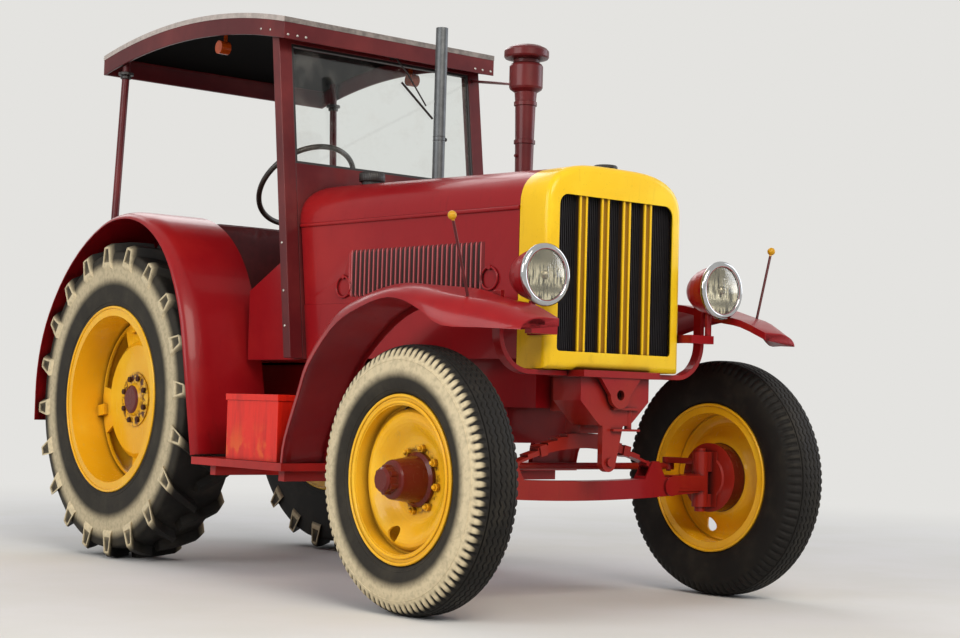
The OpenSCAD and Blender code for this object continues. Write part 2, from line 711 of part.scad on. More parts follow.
// A louvre is a hood whose sheet leaves the panel at the front, stands out to the back, where it
// is open, and slopes down to the panel at its upper and lower end
louvre_t = 1.5;
louvre_w = 15;
louvre_slope = 14;
louvre_y0 = 172;
louvre_y1 = 890;
louvre_z0 = 1108;
louvre_z1 = 1290;
louvre_in_y = louvre_t * norm([louvre_out, louvre_w]) / louvre_out;

module louvre_body(x0, y0, y1, z_in) intersection() {
    translate([0, 0, louvre_z0]) linear_extrude(louvre_z1 - louvre_z0)
        polygon([[x0, y0], [0, y0], [(y1 - y0) * louvre_out / louvre_w, y1], [x0, y1]]);
    translate([0, y1 + 1, 0]) front_view() linear_extrude(y1 + 2) polygon([
        [x0, louvre_z0 + z_in], [0, louvre_z0 + z_in], [louvre_out, louvre_z0 + z_in + louvre_slope],
        [louvre_out, louvre_z1 - z_in - louvre_slope], [0, louvre_z1 - z_in], [x0, louvre_z1 - z_in]]);
}

module at_louvres() on_panel() for (k = [0 : louvre_count - 1])
    translate([0, louvre_y0 + (louvre_y1 - louvre_y0 - louvre_w) * k / (louvre_count - 1), 0]) children();

// A latch is a ring that hangs from a boss: columns are its place along the panel and its height
latch_at = [[130, 1196], [924, 1188]];
latch_ring_r = 40;
latch_wire_r = 4;

module latches() on_panel() for (place = latch_at) translate([0, place[0], place[1]]) {
    translate([-1, 0, 0]) rotate([0, 90, 0]) cylinder(h = 12, r = 9);
    translate([6, 0, -latch_ring_r]) rotate([0, 90, 0]) rotate_extrude()
        translate([latch_ring_r, 0]) circle(r = latch_wire_r, $fn = 24);
}

module bonnet_side(side) color(dark_red) in_place() on_side(side) {
    difference() {
        union() {
            side_strip(side_panel_z0, bead_z - seat_gap, 2, 6);
            at_louvres() louvre_body(-1, 0, louvre_w, 0);
        }
        at_louvres() louvre_body(-bonnet_t - 1, louvre_in_y, louvre_w + 1, 2);
    }
    latches();
    on_panel() translate([0, bonnet_y0 + 2, bead_z - seat_gap]) rotate([-90, 0, 0])
        cylinder(h = along_panel(bonnet_rear_y(bead_z) - 8) - bonnet_y0 - 2, r = hinge_r);
}

module bonnet_side_left() bonnet_side(1);
module bonnet_side_right() bonnet_side(-1);

module lower_side_panels() color(dark_red) in_place() on_both_sides()
    side_strip(floor_z, side_panel_z0 - seat_gap, 0, 0);

// Windscreen, scuttle and floor

screen_z = 1670;
screen_y0 = 1241;
scuttle_t = 20;

function screen_y(z) = screen_y0 + (z - screen_z) * tan(screen_rake);

// The frame of the raked plane: its z runs up the screen, its origin is at screen_z
module on_screen() translate([0, screen_y0, screen_z]) rotate([-screen_rake, 0, 0]) children();

function up_screen(z) = (z - screen_z) / cos(screen_rake);

pillar_z0 = floor_z + seat_gap;
glass_top_z = roof_front_z - 88;

module windscreen_frame() color(dark_red) in_place() intersection() {
    on_screen() difference() {
        translate([-pillar_half_w, -scuttle_t / 2, up_screen(pillar_z0) - 40])
            cube([2 * pillar_half_w, pillar_d, up_screen(roof_front_z) - up_screen(pillar_z0) + 80]);
        translate([-pillar_half_w + pillar_w, -pillar_d, up_screen(pillar_z0) - 50])
            cube([2 * (pillar_half_w - pillar_w), 2 * pillar_d,
                up_screen(glass_top_z) - up_screen(pillar_z0) + 50]);
    }
    translate([-1000, 0, pillar_z0]) cube([2000, 3000, 3000]);
    roof_arch(roof_t + seat_gap, 500);
}

screen_half_w = pillar_half_w - pillar_w - seat_gap;

module scuttle_panel() color(dark_red) in_place() difference() {
    intersection() {
        on_screen() translate([-screen_half_w, -scuttle_t / 2, up_screen(floor_z) - 40])
            cube([2 * screen_half_w, scuttle_t, up_screen(glass_z0) - up_screen(floor_z) + 40]);
        translate([-1000, 0, floor_z]) cube([2000, 3000, 2000]);
    }
    column_frame() translate([0, 0, -column_l]) cylinder(h = 300, r = column_r + seat_gap);
}

module windscreen_glass() color([0.7, 0.8, 0.85, 0.4]) in_place() on_screen()
    translate([-screen_half_w, -glass_t / 2, up_screen(glass_z0) + seat_gap])
        cube([2 * screen_half_w, glass_t, up_screen(glass_top_z) - up_screen(glass_z0) - 2 * seat_gap]);

floor_y0 = screen_y(floor_z) + (scuttle_t / 2 + seat_gap) / cos(screen_rake);
floor_y1 = wheelbase + 170;
side_plate_x = pillar_half_w - 50;
side_plate_y1 = wheelbase - 740;

function pillar_back_y(z) = screen_y(z) + (pillar_d - scuttle_t / 2 + seat_gap) / cos(screen_rake);

module floor_plate() color(dark_red) in_place() {
    translate([-wall_x + seat_gap, floor_y0, floor_z - 4])
        cube([2 * wall_x - 2 * seat_gap, floor_y1 - floor_y0, 4]);
    on_both_sides() side_view()
        translate([0, 0, side_plate_x - 4]) linear_extrude(4)
            polygon([[pillar_back_y(floor_z - 4), floor_z - 4], [side_plate_y1, floor_z - 4],
                [side_plate_y1, 1150], [pillar_back_y(1290), 1290]]);
    on_both_sides() translate([wall_x - 1, floor_y0, floor_z - 4])
        cube([side_plate_x - wall_x, side_plate_y1 - 30 - floor_y0, 4]);
}

// Roof and posts

function roof_half_w(y) = roof_front_half_w
    + (roof_rear_half_w - roof_front_half_w) * (y - roof_front_y) / (roof_rear_y - roof_front_y);

roof_front_y = 1216;
roof_rear_y = wheelbase + 372;
roof_mid_y = (roof_front_y + roof_rear_y) / 2 + (roof_rear_z - roof_front_z) * roof_arch_r
    / (roof_rear_y - roof_front_y);

function arch_rise(y) = sqrt(roof_arch_r * roof_arch_r - pow(y - roof_mid_y, 2));
function roof_centre_z(z, y) = z - arch_rise(y);
function roof_under_z(y) = roof_centre_z(roof_front_z, roof_front_y) + arch_rise(y) - roof_t;

module roof_plan(inset) linear_extrude(3000) polygon([
    [-roof_front_half_w + inset, roof_front_y + inset], [roof_front_half_w - inset, roof_front_y + inset],
    [roof_rear_half_w - inset, roof_rear_y - inset], [-roof_rear_half_w + inset, roof_rear_y - inset]]);

module roof_arch(drop, z0 = 1800) intersection() {
    translate([0, roof_mid_y, roof_centre_z(roof_front_z, roof_front_y) - drop]) rotate([0, 90, 0])
        cylinder(h = 2000, r = roof_arch_r, center = true, $fn = 240);
    translate([-1000, 0, z0]) cube([2000, 3000, 2500 - z0]);
}

module roof() color(dark_red) in_place() difference() {
    intersection() {
        roof_arch(0);
        roof_plan(0);
    }
    intersection() {
        roof_arch(roof_t);
        roof_plan(roof_t);
    }
    roof_arch(roof_board_h);
}

post_r = 17;
post_top = [roof_rear_half_w - 42, wheelbase + 220, 2320];
post_foot = [rear_lip_x - 142, wheelbase + 230, rear_tyre_r + 710];

module roof_posts() color(dark_red) in_place() on_both_sides() difference() {
    intersection() {
        bar(post_foot, post_top, post_r);
        roof_arch(roof_t + seat_gap, 500);
    }
    side_view() linear_extrude(1000) rear_crown_outline(seat_gap);
}

// A round bar from one point to another
module bar(from, to, r) {
    rise = to - from;
    translate(from) rotate([0, atan2(norm([rise[0], rise[1]]), rise[2]), atan2(rise[1], rise[0])])
        cylinder(h = norm(rise), r = r);
}

// The rear fender's crown line in side view, moved outwards by a gap
module rear_crown_outline(gap) polygon([for (q = rear_line)
    q[0] + (rear_crown_rise + gap) * [-sin(q[1]), cos(q[1])]]);

// Fenders

front_fender_inner_x = 500;
board_x0 = 440;
board_x1 = rear_lip_x;
board_y0 = 832;
board_y1 = wheelbase - 780;

// A ring across a fender: lip is the outer edge, up the path's outward direction in side view,
// rise how far the crown stands above the lip, inner_x the inner edge
function fender_ring(lip, up, rise, inner_x, t) =
    let (n = [0, cos(up), sin(up)], round_w = 95, last = 8,
         arc = [for (k = [0 : last]) let (a = 90 * k / last)
             [round_w * (1 - cos(a)), rise * sin(a)]],
         outer = concat([for (q = arc) [lip[0] - q[0], 0, 0] + [0, lip[1], lip[2]] + n * q[1]],
             [[inner_x, lip[1], lip[2]] + n * rise, [inner_x, lip[1], lip[2]] + n * (rise - 26)]),
         inner = concat([[inner_x + t, lip[1], lip[2]] + n * (rise - 26),
             [inner_x + t, lip[1], lip[2]] + n * (rise - t)],
             [for (k = [last : -1 : 0]) let (q = arc[k])
                 [lip[0] - t - q[0] * (round_w - t) / round_w, lip[1], lip[2]]
                 + n * (k == 0 ? 0 : q[1] * (rise - t) / rise)]))
    concat(outer, inner);

// Front fender: columns are the lip's x, y and z, its outward direction, the crown's rise and
// the inner edge's x, from the running board over the wheel to the front tip
front_fender_table = [
    [740, board_y0, board_z + seat_gap, 0, 58, 520],
    [745, 806, 557, 15, 62, 516],
    [770, 691, 718, 30, 66, 508],
    [785, 609, 832, 40, 68, 504],
    [810, 440, 955, 58, 68, front_fender_inner_x],
    [825, 299, 1013, 72, 62, front_fender_inner_x],
    [835, 112, 1055, 92, 55, front_fender_inner_x],
    [835, -2, 1049, 106, 55, front_fender_inner_x],
    [825, -100, 1010, 112, 70, front_fender_inner_x],
    [800, -180, 961, 100, 100, front_fender_inner_x],
    [730, -297, 955, 92, 86, front_fender_inner_x],
    [664, -419, 949, 92, 44, front_fender_inner_x]
];

// Rows between the rows of a table, on a smooth cubic curve through them
function between_rows(a, b, c, d, u) = b + u * (c - a) / 2
    + u * u * (2 * a - 5 * b + 4 * c - d) / 2 + u * u * u * (3 * b - a - 3 * c + d) / 2;

function smooth_rows(table, parts) = let (last = len(table) - 1) concat(
    [for (k = [0 : last - 1], j = [0 : parts - 1])
        between_rows(table[max(k - 1, 0)], table[k], table[k + 1], table[min(k + 2, last)], j / parts)],
    [table[last]]);

module front_fender_at(side) color(dark_red) in_place() on_side(side)
    skin([for (row = smooth_rows(front_fender_table, 3))
        fender_ring([row[0], row[1], row[2]], row[3], row[4], row[5], fender_t)]);

module front_fender_left() front_fender_at(1);
module front_fender_right() front_fender_at(-1);

// Rear fender: a path of lines and arcs from its foot at the running board over the wheel
rear_path_start = [board_y1 + 10, board_z + 4];
rear_path_heading = 78;
rear_path = [[0, 470], [900, -20], [520, -50], [560, -26], [950, -38], [640, -34], [0, 128]];
rear_crown_rise = 34;

function path_points(p, heading, steps, index = 0) =
    index == len(steps) ? [[p, heading]]
    : let (radius = steps[index][0], turn = steps[index][1],
           count = radius == 0 ? 1 : ceil(abs(turn) / 5),
           here = [for (k = [0 : count - 1])
               step_end(p, heading, radius, turn * k / count)],
           next = step_end(p, heading, radius, turn))
      concat(here, path_points(next[0], next[1], steps, index + 1));

rear_line = path_points(rear_path_start, rear_path_heading, rear_path);

module rear_fender_at(side) color(dark_red) in_place() on_side(side)
    skin([for (k = [len(rear_line) - 1 : -1 : 0]) let (q = rear_line[k])
        fender_ring([rear_lip_x, q[0][0], q[0][1]], q[1] + 90, rear_crown_rise,
            rear_fender_inner_x, fender_t)]);
module rear_fender_left() rear_fender_at(1);
module rear_fender_right() rear_fender_at(-1);

// The flat wall between a rear wheel and the driver's place, open round the axle
module fender_walls() color(dark_red) in_place() on_both_sides() difference() {
    translate([wall_x, 0, 0]) side_view() linear_extrude(wall_t)
        polygon([for (q = rear_line) q[0] + (rear_crown_rise - 2) * [-sin(q[1]), cos(q[1])]]);
    translate([wall_x - 1, wheelbase, rear_tyre_r]) rotate([0, 90, 0])
        cylinder(h = wall_t + 2, r = wall_hole_r);
    translate([wall_x - 1, wheelbase - wall_hole_r, 0]) cube([wall_t + 2, 2 * wall_hole_r, rear_tyre_r]);
    translate([wall_x - 1, wheelbase - 900, 0]) cube([wall_t + 2, 1800, 560]);
}

stay_y = -100;

module fender_stays() color(dark_red) in_place() on_both_sides()
    translate([0, stay_y + 20, 0]) front_view()
        along_path([185 + seat_gap, bolster_top_z - 12], 0,
            [[0, front_fender_inner_x - 9 - 2 * seat_gap - 130 - 185], [130, 90], [0, 142]])
                translate([-9, 0]) square([18, 40]);

module running_boards() color(dark_red) in_place() {
    on_both_sides() translate([board_x0, board_y0, board_z - 30])
        cube([board_x1 - board_x0, board_y1 - board_y0, 30 - seat_gap]);
    for (place = [[board_y0 + 68, 570], [board_y1 - 90, step_hanger_z]]) {
        translate([-board_x1 + 60, place[0], board_z - 71]) cube([2 * board_x1 - 120, 40, 42]);
        on_both_sides() translate([70, place[0], board_z - 30])
            cube([50, 40, place[1] - seat_gap - board_z + 30]);
    }
}

box_y0 = board_y0 + 64;
box_x1 = board_x1 - 20;
box_wall = 3;

module toolbox() color("crimson") in_place() mirror([1, 0, 0]) difference() {
    translate([box_x1 - toolbox_d, box_y0, board_z]) cube([toolbox_d, toolbox_l, toolbox_h]);
    translate([box_x1 - toolbox_d + box_wall, box_y0 + box_wall, board_z + box_wall])
        cube([toolbox_d - 2 * box_wall, toolbox_l - 2 * box_wall, toolbox_h]);
}

lid_over = 5;

module toolbox_lid() color("crimson") in_place() mirror([1, 0, 0]) difference() {
    translate([box_x1 - toolbox_d - 1, box_y0 - lid_over, board_z + toolbox_h - 20])
        cube([toolbox_d + 1 + lid_over, toolbox_l + 2 * lid_over, 24]);
    translate([box_x1 - toolbox_d - 2, box_y0 - 1, board_z + toolbox_h - 30])
        cube([toolbox_d + 3, toolbox_l + 2, 30 + seat_gap]);
}

// Driver's seat and controls

seat_y = wheelbase - 150;
seat_z = 1010;

module seat_frame() color(dark_red) in_place() {
    translate([-60, seat_y - 80, floor_z + seat_gap]) cube([120, 160, seat_z - floor_z - 40]);
    translate([-230, seat_y - 190, seat_z - 42]) cube([460, 410, 20]);
    translate([-230, seat_y + 212, seat_z - 42]) cube([460, 16, 420]);
}

module seat_pads() color("brown") in_place() {
    translate([-240, seat_y - 200, seat_z - 22 + seat_gap]) cube([480, 400, 100]);
    translate([-240, seat_y + 122, seat_z + 90]) cube([480, 90 - seat_gap, 420]);
}

column_top = [0, 1845, 1659];
column_l = 1010;
column_r = 22;
wheel_hub_h = 44;

module column_frame() translate([column_top[0], column_top[1], column_top[2]])
    rotate([-column_lean + 90, 0, 0]) rotate([-90, 0, 0]) children();

module steering_column() color(black) in_place() column_frame()
    translate([0, 0, -column_l]) cylinder(h = column_l - wheel_hub_h + 5 - seat_gap, r = column_r);

module steering_wheel() color(black) in_place() column_frame() {
    rotate_extrude() translate([steering_wheel_r, 0]) circle(r = steering_grip_r, $fn = 32);
    translate([0, 0, 5 - wheel_hub_h]) cylinder(h = wheel_hub_h, r = 30);
    for (k = [0 : 2]) rotate([0, 0, 90 + 120 * k]) translate([20, 0, -18]) rotate([0, 86, 0])
        cylinder(h = steering_wheel_r - 20, r = 7, $fn = 24);
}

lever_y = seat_y - 480;
lever_h = 330;

module levers() color(black) in_place() {
    for (x = [-30, 60]) translate([x, lever_y, floor_z + seat_gap]) {
        cylinder(h = lever_h, r = 9);
        translate([0, 0, lever_h + 10]) sphere(r = 22, $fn = 48);
    }
    for (x = [-220, 160]) translate([x, floor_y0 + 200, floor_z + seat_gap]) cube([60, 90, 50]);
}

// Exhaust and air intake

exhaust_y = 890;
exhaust_r = 24.5;
exhaust_top_z = 2224;

module exhaust_pipe() color("slategray") in_place() difference() {
    translate([0, exhaust_y, engine_top_z + seat_gap])
        cylinder(h = exhaust_top_z - engine_top_z, r = exhaust_r);
    translate([0, exhaust_y, 1700]) cylinder(h = 600, r = exhaust_r - 2.5);
}

intake_x = 120;
intake_y = 500;
intake_r = 35;
intake_z0 = 1545;

intake_stay_from = [intake_x, intake_y, intake_z0 + 415];
intake_stay_to = [pillar_half_w - pillar_w / 2, screen_y0 + 60, 2128];
intake_stay_r = 6;

// The pipe has two bands, and the cup a waist under its cap. A stay holds it to a pillar's top.
module air_intake() color("maroon") in_place() {
    translate([intake_x, intake_y, intake_z0]) rotate_extrude() polygon([
        [0, engine_top_z + seat_gap - intake_z0], [intake_r, engine_top_z + seat_gap - intake_z0],
        [intake_r, 60], [37, 180], [42, 182], [42, 196], [37, 198], [40, 330], [45, 332], [45, 346],
        [41, 348], [44, 384], [62, 396], [66, 404], [66, 486], [62, 494], [52, 500], [52, 512],
        [84, 518], [88, 524], [88, 546], [80, 556], [60, 566], [30, 571], [0, 572]]);
    difference() {
        bar(intake_stay_from, intake_stay_to, intake_stay_r);
        on_screen() translate([-1000, -scuttle_t / 2 - seat_gap, -1000]) cube([2000, 500, 2000]);
    }
}

// Lamps and staffs

lamp = [430, -265, 1147];
lamp_r = 105;
lamp_glass_r = 87;
lamp_bowl_r = 93;
lamp_bowl_l = 150;
lamp_ring_r = 10;

module headlamps() color(red) in_place() on_both_sides() {
    translate(lamp) rotate([90, 0, 0]) rotate_extrude() difference() {
        union() {
            polygon(concat([for (k = [0 : 8]) [lamp_bowl_r * sin(11.25 * k), -lamp_bowl_l * cos(11.25 * k)]],
                [[lamp_r - lamp_ring_r, 0], [lamp_r - lamp_ring_r, 12], [0, 12]]));
            translate([lamp_r - lamp_ring_r, 3]) circle(r = lamp_ring_r, $fn = 32);
        }
        translate([-1, -1]) square([lamp_glass_r + 1, 20]);
    }
    translate([lamp[0], lamp[1] + 60, lamp[2] - 170]) cylinder(h = 84, r = 12);
    translate([shell_half_w + seat_gap, lamp[1] + 44, lamp[2] - 196])
        cube([lamp[0] - shell_half_w + 14, 34, 30]);
    translate([shell_half_w + seat_gap, lamp[1] + 44, lamp[2] - 196]) cube([8, 150, 30]);
}

module headlamp_glass() color([0.85, 0.85, 0.8, 0.5]) in_place() on_both_sides()
    translate(lamp) rotate([90, 0, 0]) rotate_extrude()
        polygon([[0, 0], [lamp_glass_r - seat_gap, 0], [lamp_glass_r - seat_gap, 8], [60, 18], [0, 22]]);

staff_r = 5;
staff_ball_r = 15;
staff_lean = 16;
staff_row = front_fender_table[9];
staff_foot = [704, staff_row[1], staff_row[2]] + staff_row[4] * [0, cos(staff_row[3]), sin(staff_row[3])]
    + [0, 0, staff_r * sin(staff_lean) + seat_gap];

module width_staffs() color("gold") in_place() on_both_sides()
    translate(staff_foot) rotate([0, staff_lean, 0]) {
        cylinder(h = 270, r = staff_r, $fn = 24);
        translate([0, 0, 270]) sphere(r = staff_ball_r, $fn = 48);
    }

indicator_y = 1755;

module indicator_lamps() color("darkorange") in_place() on_both_sides()
    translate([roof_half_w(indicator_y) - roof_board_h, indicator_y, roof_front_z - 44]) {
        rotate([0, 90, 0]) cylinder(h = 46, r = 28);
        translate([10, -12, 0])
            cube([4, 24, roof_under_z(indicator_y - 12) - seat_gap - roof_front_z + 44]);
    }

// Hitch

hitch_y0 = rear_case_y1 + seat_gap;
hitch_z = 600;
jaw_t = 20;

module hitch() color(dark_red) in_place() difference() {
    union() {
        for (z = [-1, 1]) translate([-50, hitch_y0, hitch_z + z * (hitch_gap + jaw_t) / 2 - jaw_t / 2])
            cube([100, 180, jaw_t]);
        translate([-50, hitch_y0, hitch_z - hitch_gap / 2 - 1]) cube([100, 50, hitch_gap + 2]);
    }
    translate([0, hitch_y0 + 140, hitch_z - 200]) cylinder(h = 400, r = hitch_hole_r);
}

front_bolster();
front_axle_beam();
front_spring();
engine_block();
gearbox();
rear_axle();
radiator_shell();
radiator_core();
grille_bars();
filler_caps();
bonnet_top();
bonnet_side_left();
bonnet_side_right();
lower_side_panels();
scuttle_panel();
windscreen_frame();
windscreen_glass();
roof();
roof_posts();
rear_fender_left();
rear_fender_right();
fender_walls();
front_fender_left();
front_fender_right();
fender_stays();
running_boards();
toolbox();
toolbox_lid();
floor_plate();
seat_frame();
seat_pads();
steering_column();
steering_wheel();
levers();
exhaust_pipe();
air_intake();
headlamps();
headlamp_glass();
width_staffs();
indicator_lamps();
hitch();
knuckle_left();
knuckle_right();
tie_rod();
front_wheel_left();
front_wheel_right();
front_tyre_left();
front_tyre_right();
rear_wheel_left();
rear_wheel_right();
rear_tyre_left();
rear_tyre_right();
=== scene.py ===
"""Finishes, treads, cushions, lamps and small fittings of a vintage farm tractor with an open roofed cab."""
import json
import math
from functools import partial

import bmesh
import bpy
import numpy as np
from bpy.props import FloatProperty, FloatVectorProperty, IntProperty, PointerProperty
from bpy.types import Operator, Panel, PropertyGroup
from mathutils import Matrix, Vector


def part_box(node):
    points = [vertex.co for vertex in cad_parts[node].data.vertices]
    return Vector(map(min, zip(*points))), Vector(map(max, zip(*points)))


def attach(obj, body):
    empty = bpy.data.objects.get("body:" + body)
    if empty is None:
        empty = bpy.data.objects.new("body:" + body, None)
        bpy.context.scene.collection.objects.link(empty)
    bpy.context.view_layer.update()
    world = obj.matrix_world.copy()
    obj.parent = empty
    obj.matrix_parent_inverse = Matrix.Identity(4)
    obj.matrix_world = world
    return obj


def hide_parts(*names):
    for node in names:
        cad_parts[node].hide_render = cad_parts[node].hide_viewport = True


bl_info = {
    "name": "Vintage farm tractor",
    "version": (1, 0, 0),
    "blender": (4, 5, 0),
    "location": "View3D > Sidebar > Tractor",
    "description": "Finishes and small fittings of a vintage farm tractor with an open roofed cab",
    "category": "Object",
}

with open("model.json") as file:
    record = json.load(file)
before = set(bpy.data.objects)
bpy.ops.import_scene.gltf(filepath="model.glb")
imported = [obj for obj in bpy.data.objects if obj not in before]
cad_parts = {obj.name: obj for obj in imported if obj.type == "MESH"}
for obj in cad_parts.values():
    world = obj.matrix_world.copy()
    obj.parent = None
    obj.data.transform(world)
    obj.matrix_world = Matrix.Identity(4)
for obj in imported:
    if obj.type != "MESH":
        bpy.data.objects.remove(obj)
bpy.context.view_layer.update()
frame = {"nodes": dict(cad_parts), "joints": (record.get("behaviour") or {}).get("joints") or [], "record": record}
NODES = frame["nodes"]
JOINTS = {row["name"]: row for row in frame["joints"]}
BODY_OF = {node: body for body, nodes in frame["record"]["behaviour"]["bodies"].items() for node in nodes}
SIDES = {"left": 1.0, "right": -1.0}
MM = 0.001
TURN = 2 * math.pi


def linear(code):
    """An sRGB hex colour as linear red, green, blue and alpha."""
    values = (int(code[i:i + 2], 16) / 255 for i in (1, 3, 5))
    return tuple(v / 12.92 if v <= 0.04045 else ((v + 0.055) / 1.055) ** 2.4 for v in values) + (1.0,)


def shade(name, description, code):
    """A colour property whose default is an sRGB hex value."""
    return FloatVectorProperty(name=name, description=description, subtype="COLOR", size=4,
                               min=0.0, max=1.0, default=linear(code))


def length(name, description, millimetres):
    """A length property, whose default is given in millimetres."""
    return FloatProperty(name=name, description=description, default=millimetres * MM, min=0.0,
                         precision=4, unit="LENGTH")


class TractorColours(PropertyGroup):
    """Colours of the finishes"""
    dark_red: shade("Dark red", "Bonnet and fenders", "#8a0d15")
    faded_red: shade("Faded red", "Where the sun has bleached the dark red", "#991a1b")
    maroon: shade("Maroon", "Roof, windscreen frame, scuttle and air intake", "#500f14")
    faded_maroon: shade("Faded maroon", "Where the sun has bleached the maroon", "#6a2222")
    # Painted highlight on the louvres' lips
    louvre_highlight: shade("Worn edge", "Polished edges of louvres and lids", "#c9696a")
    chassis_red: shade("Chassis red", "Axle beam, knuckles, bolster and spring", "#8f2116")
    bright_red: shade("Bright red", "Toolbox, painted again later", "#dc2616")
    box_run: shade("Brush run", "Darker runs of the brush on the toolbox", "#9a1510")
    board_red: shade("Board red", "Running boards", "#ae1a14")
    board_worn: shade("Worn board red", "Where boots have dulled the running boards", "#8f1915")
    hub_red: shade("Hub red", "Hubs of the wheels, stained by grease", "#5f1a14")
    lemon: shade("Lemon", "Radiator shell and grille bars", "#edbf17")
    pale_lemon: shade("Pale lemon", "Where the shell's yellow has bleached", "#f2cd2c")
    yellow: shade("Yellow", "Wheels", "#efb01a")
    pale_yellow: shade("Pale yellow", "Where the wheels' yellow has bleached", "#f4bf30")
    # Darker brown in the grille bars' grooves
    groove: shade("Groove", "Dusty grooves in the grille bars", "#94690e")
    staff_ball: shade("Staff ball", "Balls on top of the width staffs", "#c79312")
    # Grime also serves as the painted shade in the enamels' recesses and behind the louvres' lips
    grime_and_shade: shade("Grime", "Oil and dirt in recesses", "#230c09")
    # Brown grime also serves as the painted shade in the recesses of yellow pieces
    brown_grime_and_shade: shade("Brown grime", "Dirt in the recesses of yellow pieces", "#5d3b0e")
    rust: shade("Rust", "Bare iron round the rear hubs' bolts", "#4a2313")
    orange_rust: shade("Orange rust", "Stain low on the toolbox", "#d8531c")
    rubber: shade("Rubber", "Treads of the tyres", "#181614")
    # Dry dust and the painted highlight of the tyres' sheen
    pale_tone: shade("Dust", "Dry field dust on the sidewalls", "#d6c6a3")
    steel: shade("Steel", "Galvanised exhaust pipe", "#5e6163")
    trim: shade("Trim", "Metal edging of the roof", "#c9bdb6")
    # The end edging's darker tone is painted shade
    dull_trim: shade("Dull trim", "Edging of the roof's ends, dulled by weather", "#8f8680")
    chrome: shade("Chrome", "Rings of the headlamps", "#b9babb")
    zinc: shade("Zinc", "Screws, nails and bulb shields", "#b9b6ae")
    silver: shade("Silver", "Reflectors of the headlamps", "#f2efe4")
    # Darker tone of the reflections painted into the reflectors
    reflection_dark: shade("Tarnish", "Where the reflectors' silver has darkened", "#55544e")
    roof_shade_colour: shade("Felt", "Tarred lining under the roof", "#060504")
    # Near-black of the sheet under the roof, painted shade
    seat: shade("Seat", "Leathercloth of the cushions", "#4f1618")
    lens: shade("Lens", "Pressed glass of the headlamps", "#f3efe2")
    amber: shade("Amber", "Indicator lamps", "#a8420f")
    bakelite: shade("Bakelite", "Steering wheel and knobs", "#2b2520")
    black: shade("Black", "Chassis black on caps, column and wiper", "#1d1816")
    # Core black also paints the shade on the grille bars' sides
    core: shade("Core black", "Radiator core, dulled by heat", "#29272b")
    pane: shade("Pane", "Tint of the windscreen's glass", "#f8faf9")
    pane_dust: shade("Pane dust", "Film of dust on the windscreen", "#c9c6bd")
    floor: shade("Floor", "Studio floor", "#d9d8d4")
    worn_floor: shade("Worn floor", "Patches of the studio floor", "#dedddc")


class TractorSizes(PropertyGroup):
    """Sizes of the pieces that are added to the frame"""
    front_rim_w: length("Front rim width", "Width over a front rim's flanges", 151)
    front_seat_r: length("Front bead seat", "Radius of a front rim's bead seat", 254)
    front_groove: length("Front groove depth", "Depth of the zigzag grooves in a front tyre", 5)
    front_zigzags: IntProperty(name="Zigzags", description="Zigzags round a front tyre", default=90, min=40)
    front_notches: IntProperty(name="Notches", description="Notches round a front shoulder", default=90,
                               min=36)
    rear_rim_w: length("Rear rim width", "Width over a rear rim's flanges", 270)
    rear_seat_r: length("Rear bead seat", "Radius of a rear rim's bead seat", 370)
    lug_h: length("Lug height", "Height of a rear tyre's lugs above the carcass", 40)
    lug_count: IntProperty(name="Lugs", description="Lugs on each half of a rear tyre", default=20, min=12)
    wheel_nut: length("Front wheel nut", "Width across the corners of a front wheel nut", 28)
    hub_bolt: length("Rear hub bolt", "Width across the corners of a rear hub bolt", 26)
    lamp_r: length("Headlamp radius", "Radius of a headlamp over its ring", 105)
    fin_pitch: length("Radiator fin pitch", "Distance between the radiator's fins", 9)
    wiper_r: length("Wiper arm", "Radius of the wiper's arm", 3.5)
    edging_h: length("Roof edging", "Height of the metal edging along the roof", 20)
    cushion_swell: length("Cushion swell", "Greatest travel of a cushion's cloth as it fills", 14)


# Shapes

def grid_quads(rows, columns, wrap_rows, wrap_columns):
    """Quads between neighbours in a grid whose point (row, column) has the index row * columns + column."""
    row = np.arange(rows if wrap_rows else rows - 1)
    column = np.arange(columns if wrap_columns else columns - 1)
    row, column = np.meshgrid(row, column, indexing="ij")
    next_row, next_column = (row + 1) % rows, (column + 1) % columns
    corners = (row * columns + column, row * columns + next_column,
               next_row * columns + next_column, next_row * columns + column)
    return np.stack(corners, axis=-1).reshape(-1, 4)


class Shape:
    """Gathers the grids of points that make up one piece, with a value of painted light and dust for each point.
    """

    def __init__(self):
        self.points, self.quads, self.wear, self.count = [], [], [], 0

    def add(self, points, wrap_rows=False, wrap_columns=False, wear=0.0):
        """Adds a grid of points, with its last row or column joined to its first where it wraps."""
        rows, columns = points.shape[:2]
        self.quads.append(grid_quads(rows, columns, wrap_rows, wrap_columns) + self.count)
        self.points.append(points.reshape(-1, 3))
        self.wear.append(np.broadcast_to(wear, (rows, columns)).reshape(-1))
        self.count += rows * columns

    def mesh(self, name):
        """All the grids as one mesh."""
        points, quads = np.concatenate(self.points), np.concatenate(self.quads)
        mesh = bpy.data.meshes.new(name)
        mesh.vertices.add(len(points))
        mesh.vertices.foreach_set("co", points.astype(np.float32).ravel())
        mesh.loops.add(quads.size)
        mesh.loops.foreach_set("vertex_index", quads.astype(np.int32).ravel())
        mesh.polygons.add(len(quads))
        mesh.polygons.foreach_set("loop_start", np.arange(0, quads.size, 4, dtype=np.int32))
        mesh.update(calc_edges=True)
        wear = mesh.attributes.new("wear", "FLOAT", "POINT")
        wear.data.foreach_set("value", np.concatenate(self.wear).astype(np.float32))
        return mesh


def merge_points(mesh, flatten=False):
    """Merges doubled points and turns the faces outwards. Flatten also joins triangles in one plane."""
    work = bmesh.new()
    work.from_mesh(mesh)
    bmesh.ops.remove_doubles(work, verts=work.verts, dist=2e-6)
    if flatten:
        bmesh.ops.dissolve_limit(work, angle_limit=math.radians(0.5), verts=work.verts, edges=work.edges)
    bmesh.ops.recalc_face_normals(work, faces=work.faces)
    work.to_mesh(mesh)
    work.free()


